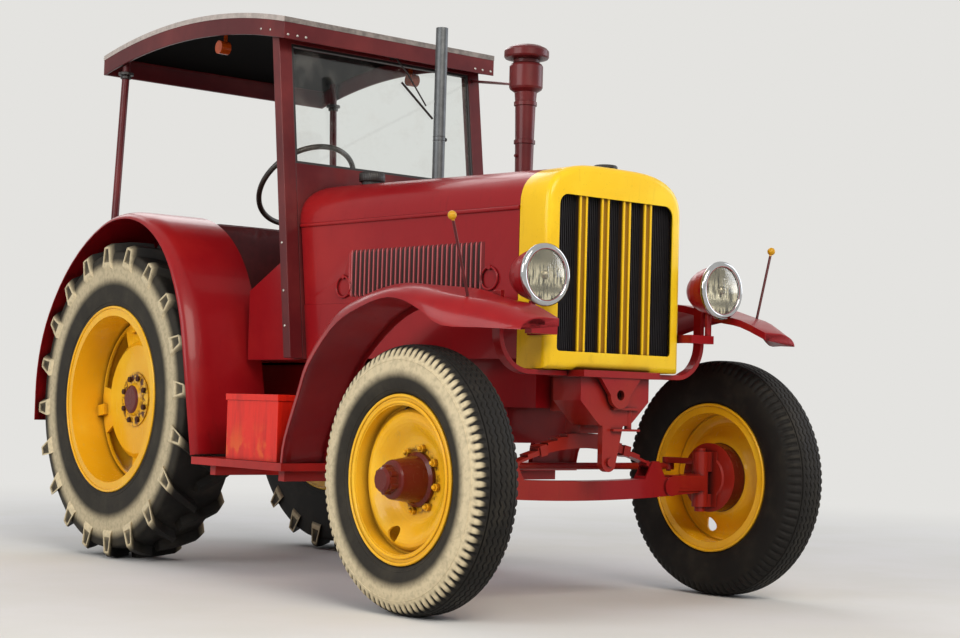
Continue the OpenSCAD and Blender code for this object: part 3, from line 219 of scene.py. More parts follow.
def place_piece(mesh, body, finish, replaced=(), smooth=40.0, edge=0.0):
    """Makes a mesh a piece with the finish of that name. Smooth is the greatest angle in degrees that
    is shaded round, and edge the width in millimetres of a rounding along sharper edges."""
    mesh.shade_smooth()
    mesh.set_sharp_from_angle(angle=math.radians(smooth))
    piece = bpy.data.objects.new(mesh.name, mesh)
    bpy.context.scene.collection.objects.link(piece)
    mesh.materials.clear()
    mesh.materials.append(FINISHES[finish])
    if edge:
        rounding = piece.modifiers.new("edge", "BEVEL")
        rounding.width = edge * MM
        rounding.segments = 2
        rounding.limit_method = "ANGLE"
        rounding.angle_limit = math.radians(smooth)
        rounding.harden_normals = True
    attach(piece, body)
    if replaced:
        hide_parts(*replaced)
    return piece


def place_shape(shape, name, body, finish, replaced=(), smooth=40.0, edge=0.0):
    """Merges a shape's doubled points and makes it a finished piece."""
    mesh = shape.mesh(name)
    merge_points(mesh)
    return place_piece(mesh, body, finish, replaced, smooth, edge)


def square_axes(axis):
    """Two unit vectors square to an axis and to each other."""
    axis = np.asarray(axis, float) / np.linalg.norm(axis)
    helper = np.array((0.0, 0.0, 1.0)) if abs(axis[2]) < 0.9 else np.array((1.0, 0.0, 0.0))
    first = np.cross(helper, axis)
    first /= np.linalg.norm(first)
    return axis, first, np.cross(axis, first)


def turned(profile, centre, axis, steps=48, lobes=0, lobe_depth=0.0):
    """A profile of (radius, along) points turned about an axis:
    p(a, k) = centre + along_k axis + radius_k (1 + lobe_depth cos(lobes a)) (cos a u + sin a v)."""
    axis, first, second = square_axes(axis)
    radius, along = np.asarray(profile, float).T
    angle = np.arange(steps) * TURN / steps
    ring = np.cos(angle)[:, None] * first + np.sin(angle)[:, None] * second
    ring *= (1 + lobe_depth * np.cos(lobes * angle))[:, None]
    return np.asarray(centre) + along[None, :, None] * axis + radius[None, :, None] * ring[:, None, :]


def ring_tube(radius, tube, centre, axis, steps=96, sides=12):
    """A torus: p(a, b) = centre + (radius + tube cos b) ring(a) + tube sin b axis."""
    b = np.arange(sides) * TURN / sides
    return turned(np.stack((radius + tube * np.cos(b), tube * np.sin(b)), axis=1), centre, axis, steps)


def swept(path, radius, sides=12):
    """A round tube with closed ends: p(i, a) = path_i + radius_i (cos a u_i + sin a v_i)."""
    path = np.asarray(path, float)
    tangent = np.gradient(path, axis=0)
    tangent /= np.linalg.norm(tangent, axis=1)[:, None]
    helper = np.array((0.0, 0.0, 1.0)) if np.abs(tangent[:, 2]).max() < 0.95 else np.array((1.0, 0.0, 0.0))
    first = np.cross(helper, tangent)
    first /= np.linalg.norm(first, axis=1)[:, None]
    second = np.cross(tangent, first)
    angle = np.arange(sides) * TURN / sides
    radius = np.broadcast_to(np.asarray(radius, float), len(path))
    spokes = np.cos(angle)[None, :, None] * first[:, None] + np.sin(angle)[None, :, None] * second[:, None]
    rings = path[:, None] + radius[:, None, None] * spokes
    ends = [np.repeat(path[end][None, None], sides, axis=1) for end in (0, -1)]
    return np.concatenate((ends[0], rings, ends[1]))


def block(low, high, origin=(0.0, 0.0, 0.0), axes=np.eye(3)):
    """A box between two corners, given along three axes from an origin."""
    low, high = np.asarray(low, float), np.asarray(high, float)
    corners = np.array(((0, 0), (1, 0), (1, 1), (0, 1)))
    rings = []
    for level, share in ((0, 0), (0, 1), (1, 1), (1, 0)):
        flat = (low[:2] + high[:2]) / 2 + share * (corners - 0.5) * (high - low)[:2]
        height = np.full((4, 1), (low[2], high[2])[level])
        rings.append(np.concatenate((flat, height), axis=1))
    return np.asarray(origin) + np.stack(rings) @ np.asarray(axes)


def domed_head(radius, height):
    """The profile of a round screw head, a quarter of an ellipse."""
    angle = np.linspace(0, math.pi / 2, 5)
    return np.concatenate((((0, -height), (radius, -height)),
                           np.stack((radius * np.cos(angle), height * np.sin(angle)), axis=1)))


def hex_head(across, height):
    """The profile of a hexagonal head with a small chamfer."""
    r = across / 2
    return ((0, 0), (r, 0), (r, height - r * 0.12), (r * 0.88, height), (0, height))


# Finishes

def add_node(tree, kind, settings=None, links=None, output=0):
    """Adds one shader node and gives one of its output sockets, where it has any. Kind is its type
    without ShaderNode in front, settings are its properties, and links its input sockets, each with a
    value or another node's socket."""
    node = tree.nodes.new("ShaderNode" + kind)
    for name, value in (settings or {}).items():
        setattr(node, name, value)
    for name, value in (links or {}).items():
        socket = node.inputs[name]
        if isinstance(value, bpy.types.NodeSocket):
            tree.links.new(value, socket)
        else:
            socket.default_value = value
    return node.outputs[output] if node.outputs else None


COLOUR = {"data_type": "RGBA"}
MULTIPLY = {"operation": "MULTIPLY", "use_clamp": True}
LARGER = {"operation": "MAXIMUM"}
SMOOTH = {"interpolation_type": "SMOOTHSTEP"}


def start_material(name):
    """A new material, what adds nodes to it, and its Object coordinates."""
    material = bpy.data.materials.new(name)
    material.use_nodes = True
    material.node_tree.nodes.clear()
    add = partial(add_node, material.node_tree)
    return material, add, add("TexCoord", output="Object")


def end_material(add, links, kind="BsdfPrincipled"):
    """The main shader, joined to the output."""
    shader = add(kind, links=links)
    add("OutputMaterial", links={"Surface": shader})


def band(add, value, low, high, soft):
    """1 between low and high, falling to 0 over a soft width on both sides."""
    rise = add("MapRange", SMOOTH, {"Value": value, "From Min": low - soft, "From Max": low + soft})
    fall = add("MapRange", SMOOTH, {"Value": value, "From Min": high + soft, "From Max": high - soft})
    return add("Math", MULTIPLY, {0: rise, 1: fall})


def blotches(add, at, size_mm, low, high, detail=4.0):
    """Patches about size_mm across, from a noise that is spread between two levels."""
    noise = add("TexNoise", links={"Vector": at, "Scale": 1000 / size_mm,
                                   "Detail": detail, "Roughness": 0.6})
    return add("MapRange", SMOOTH, {"Value": noise, "From Min": low, "From Max": high})


def runs(add, at, width_mm, low, high):
    """Streaks about width_mm wide that run down the surface, seven times as long."""
    drawn_out = add("VectorMath", {"operation": "MULTIPLY"}, {0: at, 1: (1, 1, 0.14)})
    return blotches(add, drawn_out, width_mm, low, high, 5.0)


def from_axle(add, at, axle):
    """Distance from a wheel's axle, and how far outwards along it from the wheel's middle."""
    away = add("VectorMath", {"operation": "SUBTRACT"}, {0: at, 1: (0, axle[1], axle[2])})
    flat = add("VectorMath", {"operation": "MULTIPLY"}, {0: away, 1: (0, 1, 1)})
    radius = add("VectorMath", {"operation": "LENGTH"}, {0: flat}, "Value")
    x = add("SeparateXYZ", links={0: at}, output="X")
    size = add("Math", {"operation": "ABSOLUTE"}, {0: x})
    out = add("Math", {"operation": "SUBTRACT"}, {0: size, 1: abs(axle[0])})
    return radius, out


def coat_of_enamel(add, at, colour, grime_and_shade, gloss, shade_and_dirt_share):
    """Enamel over a given colour: painted shade darkens it in recesses, by how much nearby surfaces hide them, and
    dirt lies in runs and specks; both are dull. The coat has an orange peel 3 mm across over sheet that is uneven
    by a millimetre or two."""
    # Painted shade: the colour darkens towards the grime where ambient occlusion finds nearby surfaces
    hollow = add("AmbientOcclusion", {"samples": 6}, {"Distance": 45 * MM}, "AO")
    recess_shade = add("MapRange", SMOOTH, {"Value": hollow, "From Min": 0.85, "From Max": 0.3})
    marks = add("Math", {"operation": "ADD"},
                {0: runs(add, at, 22, 0.55, 0.85), 1: blotches(add, at, 7, 0.66, 0.74, 2.0)})
    marks = add("Math", MULTIPLY, {0: marks, 1: 0.3})
    shade_and_dirt = add("Math", LARGER, {0: recess_shade, 1: marks})
    share = add("Math", MULTIPLY, {0: shade_and_dirt, 1: shade_and_dirt_share})
    tone = add("Mix", COLOUR, {0: share, 6: colour, 7: grime_and_shade}, 2)
    rough = add("Math", {"operation": "MULTIPLY_ADD", "use_clamp": True}, {0: shade_and_dirt, 1: 0.35, 2: gloss})
    dents = add("TexNoise", links={"Vector": at, "Scale": 7.0, "Detail": 2.0})
    wavy = add("Bump", links={"Height": dents, "Distance": 3 * MM, "Strength": 0.35})
    peel = add("TexNoise", links={"Vector": at, "Scale": 330.0, "Detail": 2.0})
    normal = add("Bump", links={"Height": peel, "Distance": 0.05 * MM, "Normal": wavy})
    end_material(add, {"Base Color": tone, "Roughness": rough, "Specular IOR Level": 0.2,
                       "Coat Weight": 0.16, "Coat Roughness": 0.07, "Normal": normal})


FADED_PATCH_MM = 450


def enamel(name, fresh, faded, grime_and_shade, gloss=0.32, shade_and_dirt_share=0.8):
    """Brushed enamel on sheet iron and castings: glossy, and bleached in wide patches."""
    material, add, at = start_material(name)
    patches = blotches(add, at, FADED_PATCH_MM, 0.4, 0.7)
    colour = add("Mix", COLOUR, {0: patches, 6: fresh, 7: faded}, 2)
    coat_of_enamel(add, at, colour, grime_and_shade, gloss, shade_and_dirt_share)
    return material


LOUVRE_PITCH = 25.107 * MM
LOUVRE_FIRST_Y = -1099.6 * MM
LOUVRE_LAST_Y = -385.0 * MM
LOUVRE_FOOT_Z = 1109 * MM
LOUVRE_TOP_Z = 1289 * MM
# The place in a pitch of the painted highlight on the lip, and of the painted shadow behind it
LOUVRE_LIP = (0.49, 0.59)
LOUVRE_SHADOW = (0.64, 0.98)
PANEL_TURN = math.radians(5.81)


def louvred_enamel(colours):
    """Enamel on the bonnet's sides with the louvres' light and shade painted in: the louvre field is darker,
    each lip has a painted highlight and a painted shadow lies behind it. A saw wave along the panel repeats with
    the louvres' pitch."""
    material, add, at = start_material("louvred_enamel")
    y = add("SeparateXYZ", links={0: at}, output="Y")
    z = add("SeparateXYZ", links={0: at}, output="Z")
    pitch = LOUVRE_PITCH * math.cos(PANEL_TURN)
    phase = add("Math", {"operation": "MULTIPLY_ADD"}, {0: y, 1: 1 / pitch, 2: -LOUVRE_FIRST_Y / pitch})
    phase = add("Math", {"operation": "FRACT"}, {0: phase})
    field = add("Math", MULTIPLY,
                {0: band(add, y, LOUVRE_FIRST_Y - 2 * MM, LOUVRE_LAST_Y, MM),
                 1: band(add, z, LOUVRE_FOOT_Z, LOUVRE_TOP_Z, 2 * MM)})
    lip = band(add, phase, *LOUVRE_LIP, 0.03)
    behind = band(add, phase, *LOUVRE_SHADOW, 0.04)
    patches = blotches(add, at, FADED_PATCH_MM, 0.4, 0.7)
    colour = add("Mix", COLOUR, {0: patches, 6: colours.dark_red, 7: colours.faded_red}, 2)
    # Painted shade darkens the louvre field 0.6 of the way to maroon, then the painted shadow and the painted
    # highlight follow
    for part, over in ((0.6, colours.maroon), (behind, colours.grime_and_shade), (lip, colours.louvre_highlight)):
        share = add("Math", MULTIPLY, {0: part, 1: field})
        colour = add("Mix", COLOUR, {0: share, 6: colour, 7: over}, 2)
    coat_of_enamel(add, at, colour, colours.grime_and_shade, 0.3, 0.6)
    return material


# How far behind a grille bar's face the darker brown of its groove and the painted shade on its side set in
BAR_GROOVE = (4 * MM, 7.5 * MM)
BAR_SIDE_SHADE = (8.5 * MM, 10 * MM)


def bar_enamel(colours):
    """Enamel on the grille bars' faces. Their grooves are painted a darker brown, and their sides are
    painted black as the shade between the bars."""
    material, add, at = start_material("grille_bar_enamel")
    y = add("SeparateXYZ", links={0: at}, output="Y")
    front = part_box("grille_bars")[0][1]
    colour = colours.lemon
    for (start, end), over in ((BAR_GROOVE, colours.groove), (BAR_SIDE_SHADE, colours.core)):
        share = add("MapRange", SMOOTH, {"Value": y, "From Min": front + start, "From Max": front + end})
        colour = add("Mix", COLOUR, {0: share, 6: colour, 7: over}, 2)
    coat_of_enamel(add, at, colour, colours.brown_grime_and_shade, 0.3, 0.5)
    return material


# The toolbox's rust is full at the first height and gone at the second
BOX_RUST_Z = (500 * MM, 640 * MM)


def box_enamel(colours):
    """Bright red brushed over rust: the brush left runs, and rust stains the foot of the outer side."""
    material, add, at = start_material("toolbox_enamel")
    z = add("SeparateXYZ", links={0: at}, output="Z")
    low = add("MapRange", SMOOTH, {"Value": z, "From Min": BOX_RUST_Z[1], "From Max": BOX_RUST_Z[0]})
    stain = add("Math", MULTIPLY, {0: low, 1: blotches(add, at, 110, 0.5, 0.62)})
    streaks = add("Math", MULTIPLY, {0: runs(add, at, 42, 0.42, 0.7), 1: 0.45})
    colour = colours.bright_red
    for share, over in ((streaks, colours.box_run), (stain, colours.orange_rust)):
        colour = add("Mix", COLOUR, {0: share, 6: colour, 7: over}, 2)
    coat_of_enamel(add, at, colour, colours.grime_and_shade, 0.34, 0.6)
    return material


def hub_enamel(name, axle, hubs, rust_ring, colours):
    """Yellow enamel on a wheel whose hub is dark red: hubs are (lowest, highest, radius) along the
    axle, and the rust ring is where the paint has gone round the bolts."""
    material, add, at = start_material(name)
    radius, out = from_axle(add, at, axle)
    colour = add("Mix", COLOUR, {0: blotches(add, at, 300, 0.4, 0.7),
                                 6: colours.yellow, 7: colours.pale_yellow}, 2)
    worn = add("Math", MULTIPLY, {0: band(add, radius, *rust_ring), 1: blotches(add, at, 26, 0.42, 0.6)})
    colour = add("Mix", COLOUR, {0: worn, 6: colour, 7: colours.rust}, 2)
    for low, high, hub_r in hubs:
        inside = add("MapRange", SMOOTH, {"Value": radius, "From Min": hub_r + 0.4 * MM, "From Max": hub_r})
        red = add("Math", MULTIPLY, {0: inside, 1: band(add, out, low, high, 0.2 * MM)})
        colour = add("Mix", COLOUR, {0: red, 6: colour, 7: colours.hub_red}, 2)
    coat_of_enamel(add, at, colour, colours.brown_grime_and_shade, 0.26, 0.7)
    return material


def tyre_rubber(name, axle, ring, colours):
    """Carbon-black rubber, matt and finely grained. The ring is (low, high, soft, share) of pale tone on the
    outer wall, by the distance from the axle: dry dust with a painted highlight of the walls' sheen. The
    per-point attribute paints highlight with dust on the lugs' edges and painted shade in the grooves."""
    material, add, at = start_material(name)
    radius, out = from_axle(add, at, axle)
    # Painted shade: only the outer walls get the pale ring, and the inner walls stay dark
    outer = add("MapRange", SMOOTH,
                {"Value": out, "From Min": axle[3] - 34 * MM, "From Max": axle[3] - 16 * MM})
    wear = add("Attribute", {"attribute_name": "wear"}, output="Fac")
    dust_and_sheen = add("Math", MULTIPLY, {0: band(add, radius, *ring[:3]), 1: ring[3]})
    dust_and_sheen = add("Math", LARGER, {0: dust_and_sheen, 1: 0.02})
    dust_and_sheen = add("Math", MULTIPLY, {0: dust_and_sheen, 1: outer})
    film = add("Math", MULTIPLY, {0: blotches(add, at, 120, 0.4, 0.8, 6.0), 1: 0.03})
    dust_and_sheen = add("Math", {"operation": "ADD"}, {0: dust_and_sheen, 1: film})
    dust_and_sheen = add("Math", {"operation": "ADD", "use_clamp": True}, {0: dust_and_sheen, 1: wear})
    sooty = add("Math", {"operation": "MULTIPLY_ADD"},
                {0: blotches(add, at, 18, 0.7, 0.4, 6.0), 1: 0.25, 2: 0.75})
    dust_and_sheen = add("Math", MULTIPLY, {0: dust_and_sheen, 1: sooty})
    colour = add("Mix", COLOUR, {0: dust_and_sheen, 6: colours.rubber, 7: colours.pale_tone}, 2)
    grain = add("TexNoise", links={"Vector": at, "Scale": 400.0, "Detail": 4.0})
    normal = add("Bump", links={"Height": grain, "Distance": 0.25 * MM})
    end_material(add, {"Base Color": colour, "Roughness": 0.65, "Specular IOR Level": 0.2, "Normal": normal})
    return material


def grained(name, colour, roughness, metallic=0.0, grain_mm=4.0, depth_mm=0.05, spread=0.25, shine=0.5):
    """A finish whose tone wanders a little over 30 mm, with a fine grain. It does for bare and plated
    metal, for moulded plastic and for leathercloth, each with its own roughness, grain, depth, share of
    darker tone and shine."""
    material, add, at = start_material(name)
    tone = add("Math", {"operation": "MULTIPLY_ADD"},
               {0: blotches(add, at, 30, 0.3, 0.7, 5.0), 1: spread, 2: 1 - spread})
    base = add("Mix", {"data_type": "RGBA", "blend_type": "MULTIPLY"}, {0: 1.0, 6: colour, 7: tone}, 2)
    grain = add("TexNoise", links={"Vector": at, "Scale": 1000 / grain_mm, "Detail": 3.0})
    normal = add("Bump", links={"Height": grain, "Distance": depth_mm * MM})
    end_material(add, {"Base Color": base, "Roughness": roughness, "Metallic": metallic,
                       "Specular IOR Level": shine, "Normal": normal})
    return material


def window_glass(colours):
    """Flat drawn glass: nearly clear, with a film of dust. Its shine is 4 percent face on and grows with
    the fifth power of the slant, alike on both sides of the pane."""
    material, add, at = start_material("drawn_window_glass")
    clear = add("BsdfTransparent", links={"Color": colours.pane})
    shine = add("BsdfGlossy", links={"Roughness": 0.03})
    facing = add("LayerWeight", output="Facing")
    slant = add("Math", {"operation": "POWER"}, {0: facing, 1: 5.0})
    edge = add("Math", {"operation": "MULTIPLY_ADD"}, {0: slant, 1: 0.96, 2: 0.04})
    glass = add("MixShader", links={0: edge, 1: clear, 2: shine})
    film = add("BsdfDiffuse", links={"Color": colours.pane_dust})
    pale_tone = add("Math", MULTIPLY, {0: blotches(add, at, 120, 0.45, 0.75, 6.0), 1: 0.07})
    end_material(add, {0: pale_tone, 1: glass, 2: film}, "MixShader")
    return material


def pressed_lens(colour):
    """Pressed headlamp glass: clear, a little creamy and with faint waves from the mould."""
    material, add, at = start_material("pressed_lamp_glass")
    waves = add("TexNoise", links={"Vector": at, "Scale": 60.0, "Detail": 2.0})
    normal = add("Bump", links={"Height": waves, "Distance": 0.4 * MM})
    end_material(add, {"Base Color": colour, "Roughness": 0.04, "Transmission Weight": 1.0, "IOR": 1.5,
                       "Normal": normal})
    return material


# Heights between which a reflector's painted reflection darkens at its top, and where it's painted dark at its
# foot
REFLECTION_TOP_Z = (1150 * MM, 1200 * MM)
REFLECTION_FOOT_Z = (1085 * MM, 1112 * MM)


def lamp_silver(colours):
    """Silvered reflector behind the lens with reflections painted into its colour: darker in upright streaks, at
    the top and at the foot.
    """
    material, add, at = start_material("lamp_silver")
    z = add("SeparateXYZ", links={0: at}, output="Z")
    top = add("MapRange", SMOOTH, {"Value": z, "From Min": REFLECTION_TOP_Z[0], "From Max": REFLECTION_TOP_Z[1]})
    foot = band(add, z, *REFLECTION_FOOT_Z, 10 * MM)
    dark = add("Math", LARGER, {0: top, 1: foot})
    dark = add("Math", MULTIPLY, {0: dark, 1: 0.75})
    dark = add("Math", LARGER, {0: dark, 1: runs(add, at, 11, 0.45, 0.6)})
    colour = add("Mix", COLOUR, {0: dark, 6: colours.silver, 7: colours.reflection_dark}, 2)
    end_material(add, {"Base Color": colour, "Roughness": 0.12, "Metallic": 1.0})
    return material


def staff_enamel(ball_z, colours):
    """A dark red enamelled staff whose ball on top is dull yellow."""
    material, add, at = start_material("staff_enamel")
    height = add("SeparateXYZ", links={0: at}, output="Z")
    top = add("MapRange", SMOOTH, {"Value": height, "From Min": ball_z - MM, "From Max": ball_z})
    colour = add("Mix", COLOUR, {0: top, 6: colours.maroon, 7: colours.staff_ball}, 2)
    coat_of_enamel(add, at, colour, colours.grime_and_shade, 0.35, 0.6)
    return material


FINISHES = {}


def half_width(node):
    """Half of a node's size across the tractor."""
    low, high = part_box(node)
    return (high[0] - low[0]) / 2


def radius_of(node):
    """A wheel's or tyre's radius, half of its height."""
    low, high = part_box(node)
    return (high[2] - low[2]) / 2


def axle_of(kind):
    """The middle of the left front or rear wheel, and half the width of its tyre."""
    return tuple(JOINTS[kind + "_roll_left"]["pos_m"]) + (half_width(kind + "_tyre_left"),)


# How far below a staff's top its yellow ball ends
STAFF_BALL_H = 32 * MM
# The red parts of the wheels' hubs: lowest and highest distance outwards, and radius
FRONT_HUBS = ((-7.5 * MM, 0.2, 93 * MM), (-0.2, -8.8 * MM, 132 * MM))
REAR_HUBS = ((14 * MM, 0.2, 62 * MM), (-0.2, -23 * MM, 119 * MM))
# The rings in which rust shows round the bolts: lowest and highest radius, and softness
FRONT_RUST = (94 * MM, 112 * MM, 10 * MM)
REAR_RUST = (72 * MM, 118 * MM, 14 * MM)
# The pale ring on the tyres' outer walls, dust and painted highlight: lowest and highest radius, softness and
# share
FRONT_DUST_AND_SHEEN = (352 * MM, 446 * MM, 22 * MM, 0.95)
REAR_DUST_AND_SHEEN = (515 * MM, 592 * MM, 26 * MM, 0.8)


def make_finishes(colours):
    """Every finish by the name of what the real one is."""
    front_axle, rear_axle = axle_of("front"), axle_of("rear")
    grime_and_shade, brown_grime_and_shade = colours.grime_and_shade, colours.brown_grime_and_shade
    staff_ball_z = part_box("width_staffs")[1][2] - STAFF_BALL_H
    FINISHES.update({
        "dark_red": enamel("dark_red_enamel", colours.dark_red, colours.faded_red, grime_and_shade),
        "maroon": enamel("maroon_enamel", colours.maroon, colours.faded_maroon, grime_and_shade, 0.36),
        "chassis_red": enamel("chassis_red_enamel", colours.chassis_red, colours.dark_red, grime_and_shade, 0.36, 0.9),
        "louvred": louvred_enamel(colours),
        "toolbox": box_enamel(colours),
        "board": enamel("running_board_enamel", colours.board_red, colours.board_worn, grime_and_shade, 0.36, 0.9),
        "lemon": enamel("radiator_shell_enamel", colours.lemon, colours.pale_lemon, brown_grime_and_shade, 0.28),
        "bars": bar_enamel(colours),
        "yellow": enamel("wheel_nut_enamel", colours.yellow, colours.pale_yellow, brown_grime_and_shade, 0.28),
        "front_wheel": hub_enamel("front_wheel_enamel", front_axle, FRONT_HUBS, FRONT_RUST, colours),
        "rear_wheel": hub_enamel("rear_wheel_enamel", rear_axle, REAR_HUBS, REAR_RUST, colours),
        "front_tyre": tyre_rubber("front_tyre_rubber", front_axle, FRONT_DUST_AND_SHEEN, colours),
        "rear_tyre": tyre_rubber("rear_tyre_rubber", rear_axle, REAR_DUST_AND_SHEEN, colours),
        # Drawn steel tube, galvanised hot: dull grey with a fine spangle
        "pipe": grained("galvanised_pipe", colours.steel, 0.45, 0.7, 3.0, 0.03),
        # Brass rings, polished and chrome plated: a mirror with the faintest ripple
        "chrome": grained("chrome_plate", colours.chrome, 0.1, 1.0, 5.0, 0.01, 0.1),
        "mirror": lamp_silver(colours),
        # Turned and pressed steel, zinc plated: pale and satin
        "zinc": grained("zinc_plated_steel", colours.zinc, 0.35, 0.9, 2.0, 0.02),
        # Forged iron that has lost its paint: matt, brown and pitted, drawn coarser than it is
        "rusty_iron": grained("rusty_iron", colours.rust, 0.75, 0.3, 1.5, 0.3, 0.5),
        # Black enamel brushed on castings and rods: satin, with faint brush marks
        "black": grained("chassis_black", colours.black, 0.45),
        # A near-black sheet under the roof, painted shade there: rough and without shine
        "lining": grained("tarred_felt", colours.roof_shade_colour, 0.9, 0.0, 3.0, 0.6, 0.25, 0.05),
        # Brass sheet painted black and dulled by heat
        "core": grained("radiator_black", colours.core, 0.5, 0.3, 2.0, 0.1),
        # Phenolic resin moulded in polished steel, matt where hands have worn it
        "bakelite": grained("bakelite", colours.bakelite, 0.35),
        # Cotton cloth coated and embossed like leather: a soft sheen over a fine grain
        "seat": grained("leathercloth", colours.seat, 0.5, 0.0, 2.0, 0.3, 0.25, 0.2),
        # Pressed and dyed glass: smooth and deep orange
        "amber": grained("amber_glass", colours.amber, 0.18, 0.0, 4.0, 0.05, 0.25, 0.3),
        # Rolled aluminium in the lighter of two tones: the lit edging along the roof's sides
        "trim": grained("aluminium_edging", colours.trim, 0.4, 0.6, 3.0, 0.05),
        # The same aluminium in a darker tone: painted shade on the edging at the roof's front and back
        "dull_trim": grained("weathered_edging", colours.dull_trim, 0.55, 0.5, 3.0, 0.1, 0.5),
        "glass": window_glass(colours),
        "lens": pressed_lens(colours.lens),
        "staff": staff_enamel(staff_ball_z, colours),
    })


# Nodes by their finish, where it isn't the dark red of the bodywork
NODE_FINISH = {
    "front_bolster": "chassis_red", "front_axle_beam": "chassis_red", "front_spring": "chassis_red",
    "knuckle_left": "chassis_red", "knuckle_right": "chassis_red", "tie_rod": "chassis_red",
    "bonnet_side_left": "louvred", "bonnet_side_right": "louvred", "headlamps": "dark_red",
    "roof": "maroon", "roof_posts": "maroon", "windscreen_frame": "maroon", "scuttle_panel": "maroon",
    # On the air intake the darker maroon is partly painted shade
    "air_intake": "maroon", "filler_caps": "maroon",
    "radiator_shell": "lemon", "grille_bars": "bars", "radiator_core": "core",
    "toolbox": "toolbox", "toolbox_lid": "toolbox", "running_boards": "board",
    "front_wheel_left": "front_wheel", "front_wheel_right": "front_wheel",
    "rear_wheel_left": "rear_wheel", "rear_wheel_right": "rear_wheel",
    "front_tyre_left": "front_tyre", "front_tyre_right": "front_tyre",
    "rear_tyre_left": "rear_tyre", "rear_tyre_right": "rear_tyre",
    "windscreen_glass": "glass", "headlamp_glass": "lens", "exhaust_pipe": "pipe",
    "steering_wheel": "bakelite", "steering_column": "black", "levers": "black",
    "seat_pads": "seat", "indicator_lamps": "amber", "width_staffs": "staff",
}

# Nodes that get softened edges: the rounding's width in millimetres, and the greatest smooth angle
SOFT_EDGES = {
    "rear_fender_left": (1.6, 50), "rear_fender_right": (1.6, 50),
    "front_fender_left": (1.6, 50), "front_fender_right": (1.6, 50),
    "bonnet_side_left": (0.5, 30), "bonnet_side_right": (0.5, 30),
    "radiator_shell": (1.5, 50), "bonnet_top": (0.8, 40),
    "roof": (2.5, 30), "windscreen_frame": (3.0, 30), "scuttle_panel": (1.5, 30),
    "toolbox": (1.2, 30), "toolbox_lid": (1.2, 30), "running_boards": (4.0, 30),
    "floor_plate": (1.2, 30), "front_bolster": (2.0, 30), "front_axle_beam": (3.0, 30),
    "grille_bars": (2.0, 30), "gearbox": (8.0, 30), "hitch": (3.0, 30), "fender_stays": (2.0, 30),
    "knuckle_left": (2.0, 30), "knuckle_right": (2.0, 30), "seat_frame": (3.0, 30),
    "lower_side_panels": (0.8, 30),
}


class TRACTOR_OT_finishes(Operator):
    """Makes the finishes and gives every solid of the frame its own"""
    bl_idname = "tractor.finishes"
    bl_label = "Finishes"

    def execute(self, context):
        make_finishes(context.scene.tractor_colours)
        for name, node in NODES.items():
            node.data.materials.clear()
            node.data.materials.append(FINISHES[NODE_FINISH.get(name, "dark_red")])
        return {"FINISHED"}


class TRACTOR_OT_soft_edges(Operator):
    """Replaces boxy and faceted solids by copies with rounded edges and smooth curves"""
    bl_idname = "tractor.soft_edges"
    bl_label = "Bodywork"

    def execute(self, context):
        for name, (edge, smooth) in SOFT_EDGES.items():
            mesh = NODES[name].data.copy()
            mesh.name = name + "_rounded"
            merge_points(mesh, flatten=True)
            place_piece(mesh, BODY_OF[name], NODE_FINISH.get(name, "dark_red"), (name,),
                        smooth, edge)
        return {"FINISHED"}


# Tyres

RIM_FLANGE = 6.3 * MM
BEAD_GAP = 0.3 * MM
WALL_LOW = math.radians(-65)
WALL_HIGH = math.radians(75)
# How far a wall starts above the rim's flange and ends below the tread's middle, and how far inside its
# end the tread starts
WALL_FOOT = 3 * MM
WALL_TOP_DROP = 17 * MM
SHOULDER_IN = 4 * MM


def tyre_section(outer_r, width, seat_r, flange_r, rim_w, crown, wall_steps, tread_steps):
    """A tyre's closed section as rows of radius and distance across. A wall follows
    r = middle + height sin a, x = width / 2 - bulge (1 - cos a), and the tread
    r = outer_r - crown (x / shoulder)^4."""
    height = (outer_r - flange_r - WALL_TOP_DROP) / (math.sin(WALL_HIGH) - math.sin(WALL_LOW))
    middle = flange_r + WALL_FOOT - height * math.sin(WALL_LOW)
    bulge = (width - rim_w) / 2 / (1 - math.cos(WALL_LOW))
    angle = np.linspace(WALL_LOW, WALL_HIGH, wall_steps)
    wall = np.stack((middle + height * np.sin(angle), width / 2 - bulge * (1 - np.cos(angle))), axis=1)
    shoulder = wall[-1, 1] - SHOULDER_IN
    across = np.linspace(shoulder, -shoulder, tread_steps)
    tread = np.stack((outer_r - crown * (across / shoulder) ** 4, across), axis=1)
    bead_x = rim_w / 2 - RIM_FLANGE
    half = np.concatenate((((seat_r + BEAD_GAP, bead_x), (flange_r + MM, bead_x)), wall))
    return np.concatenate((half, tread, half[::-1] * (1, -1)))


def section_frame(section):
    """The outward normal at each row of a closed section, and its distance along it from the middle."""
    tangent = np.roll(section, -1, axis=0) - np.roll(section, 1, axis=0)
    normal = np.stack((-tangent[:, 1], tangent[:, 0]), axis=1)
    normal /= np.linalg.norm(normal, axis=1)[:, None]
    along = np.concatenate(((0.0,), np.cumsum(np.linalg.norm(np.diff(section, axis=0), axis=1))))
    return normal, along - along[-1] / 2


def smooth_rise(start, end, value):
    """t^2 (3 - 2 t), where t goes from 0 at start to 1 at end."""
    t = np.clip((value - start) / (end - start), 0, 1)
    return t * t * (3 - 2 * t)


# The zigzag grooves' places across the tread, how far they swing, and the straight groove's place
ZIGZAG_PLACES = (-33 * MM, -11 * MM, 11 * MM, 33 * MM)
ZIGZAG_SWING = 4 * MM
STRAIGHT_GROOVE = 50 * MM
# Where the shoulder's notches start and end, along the section from its middle
NOTCH_START = (55 * MM, 58 * MM)
NOTCH_END = (98 * MM, 108 * MM)


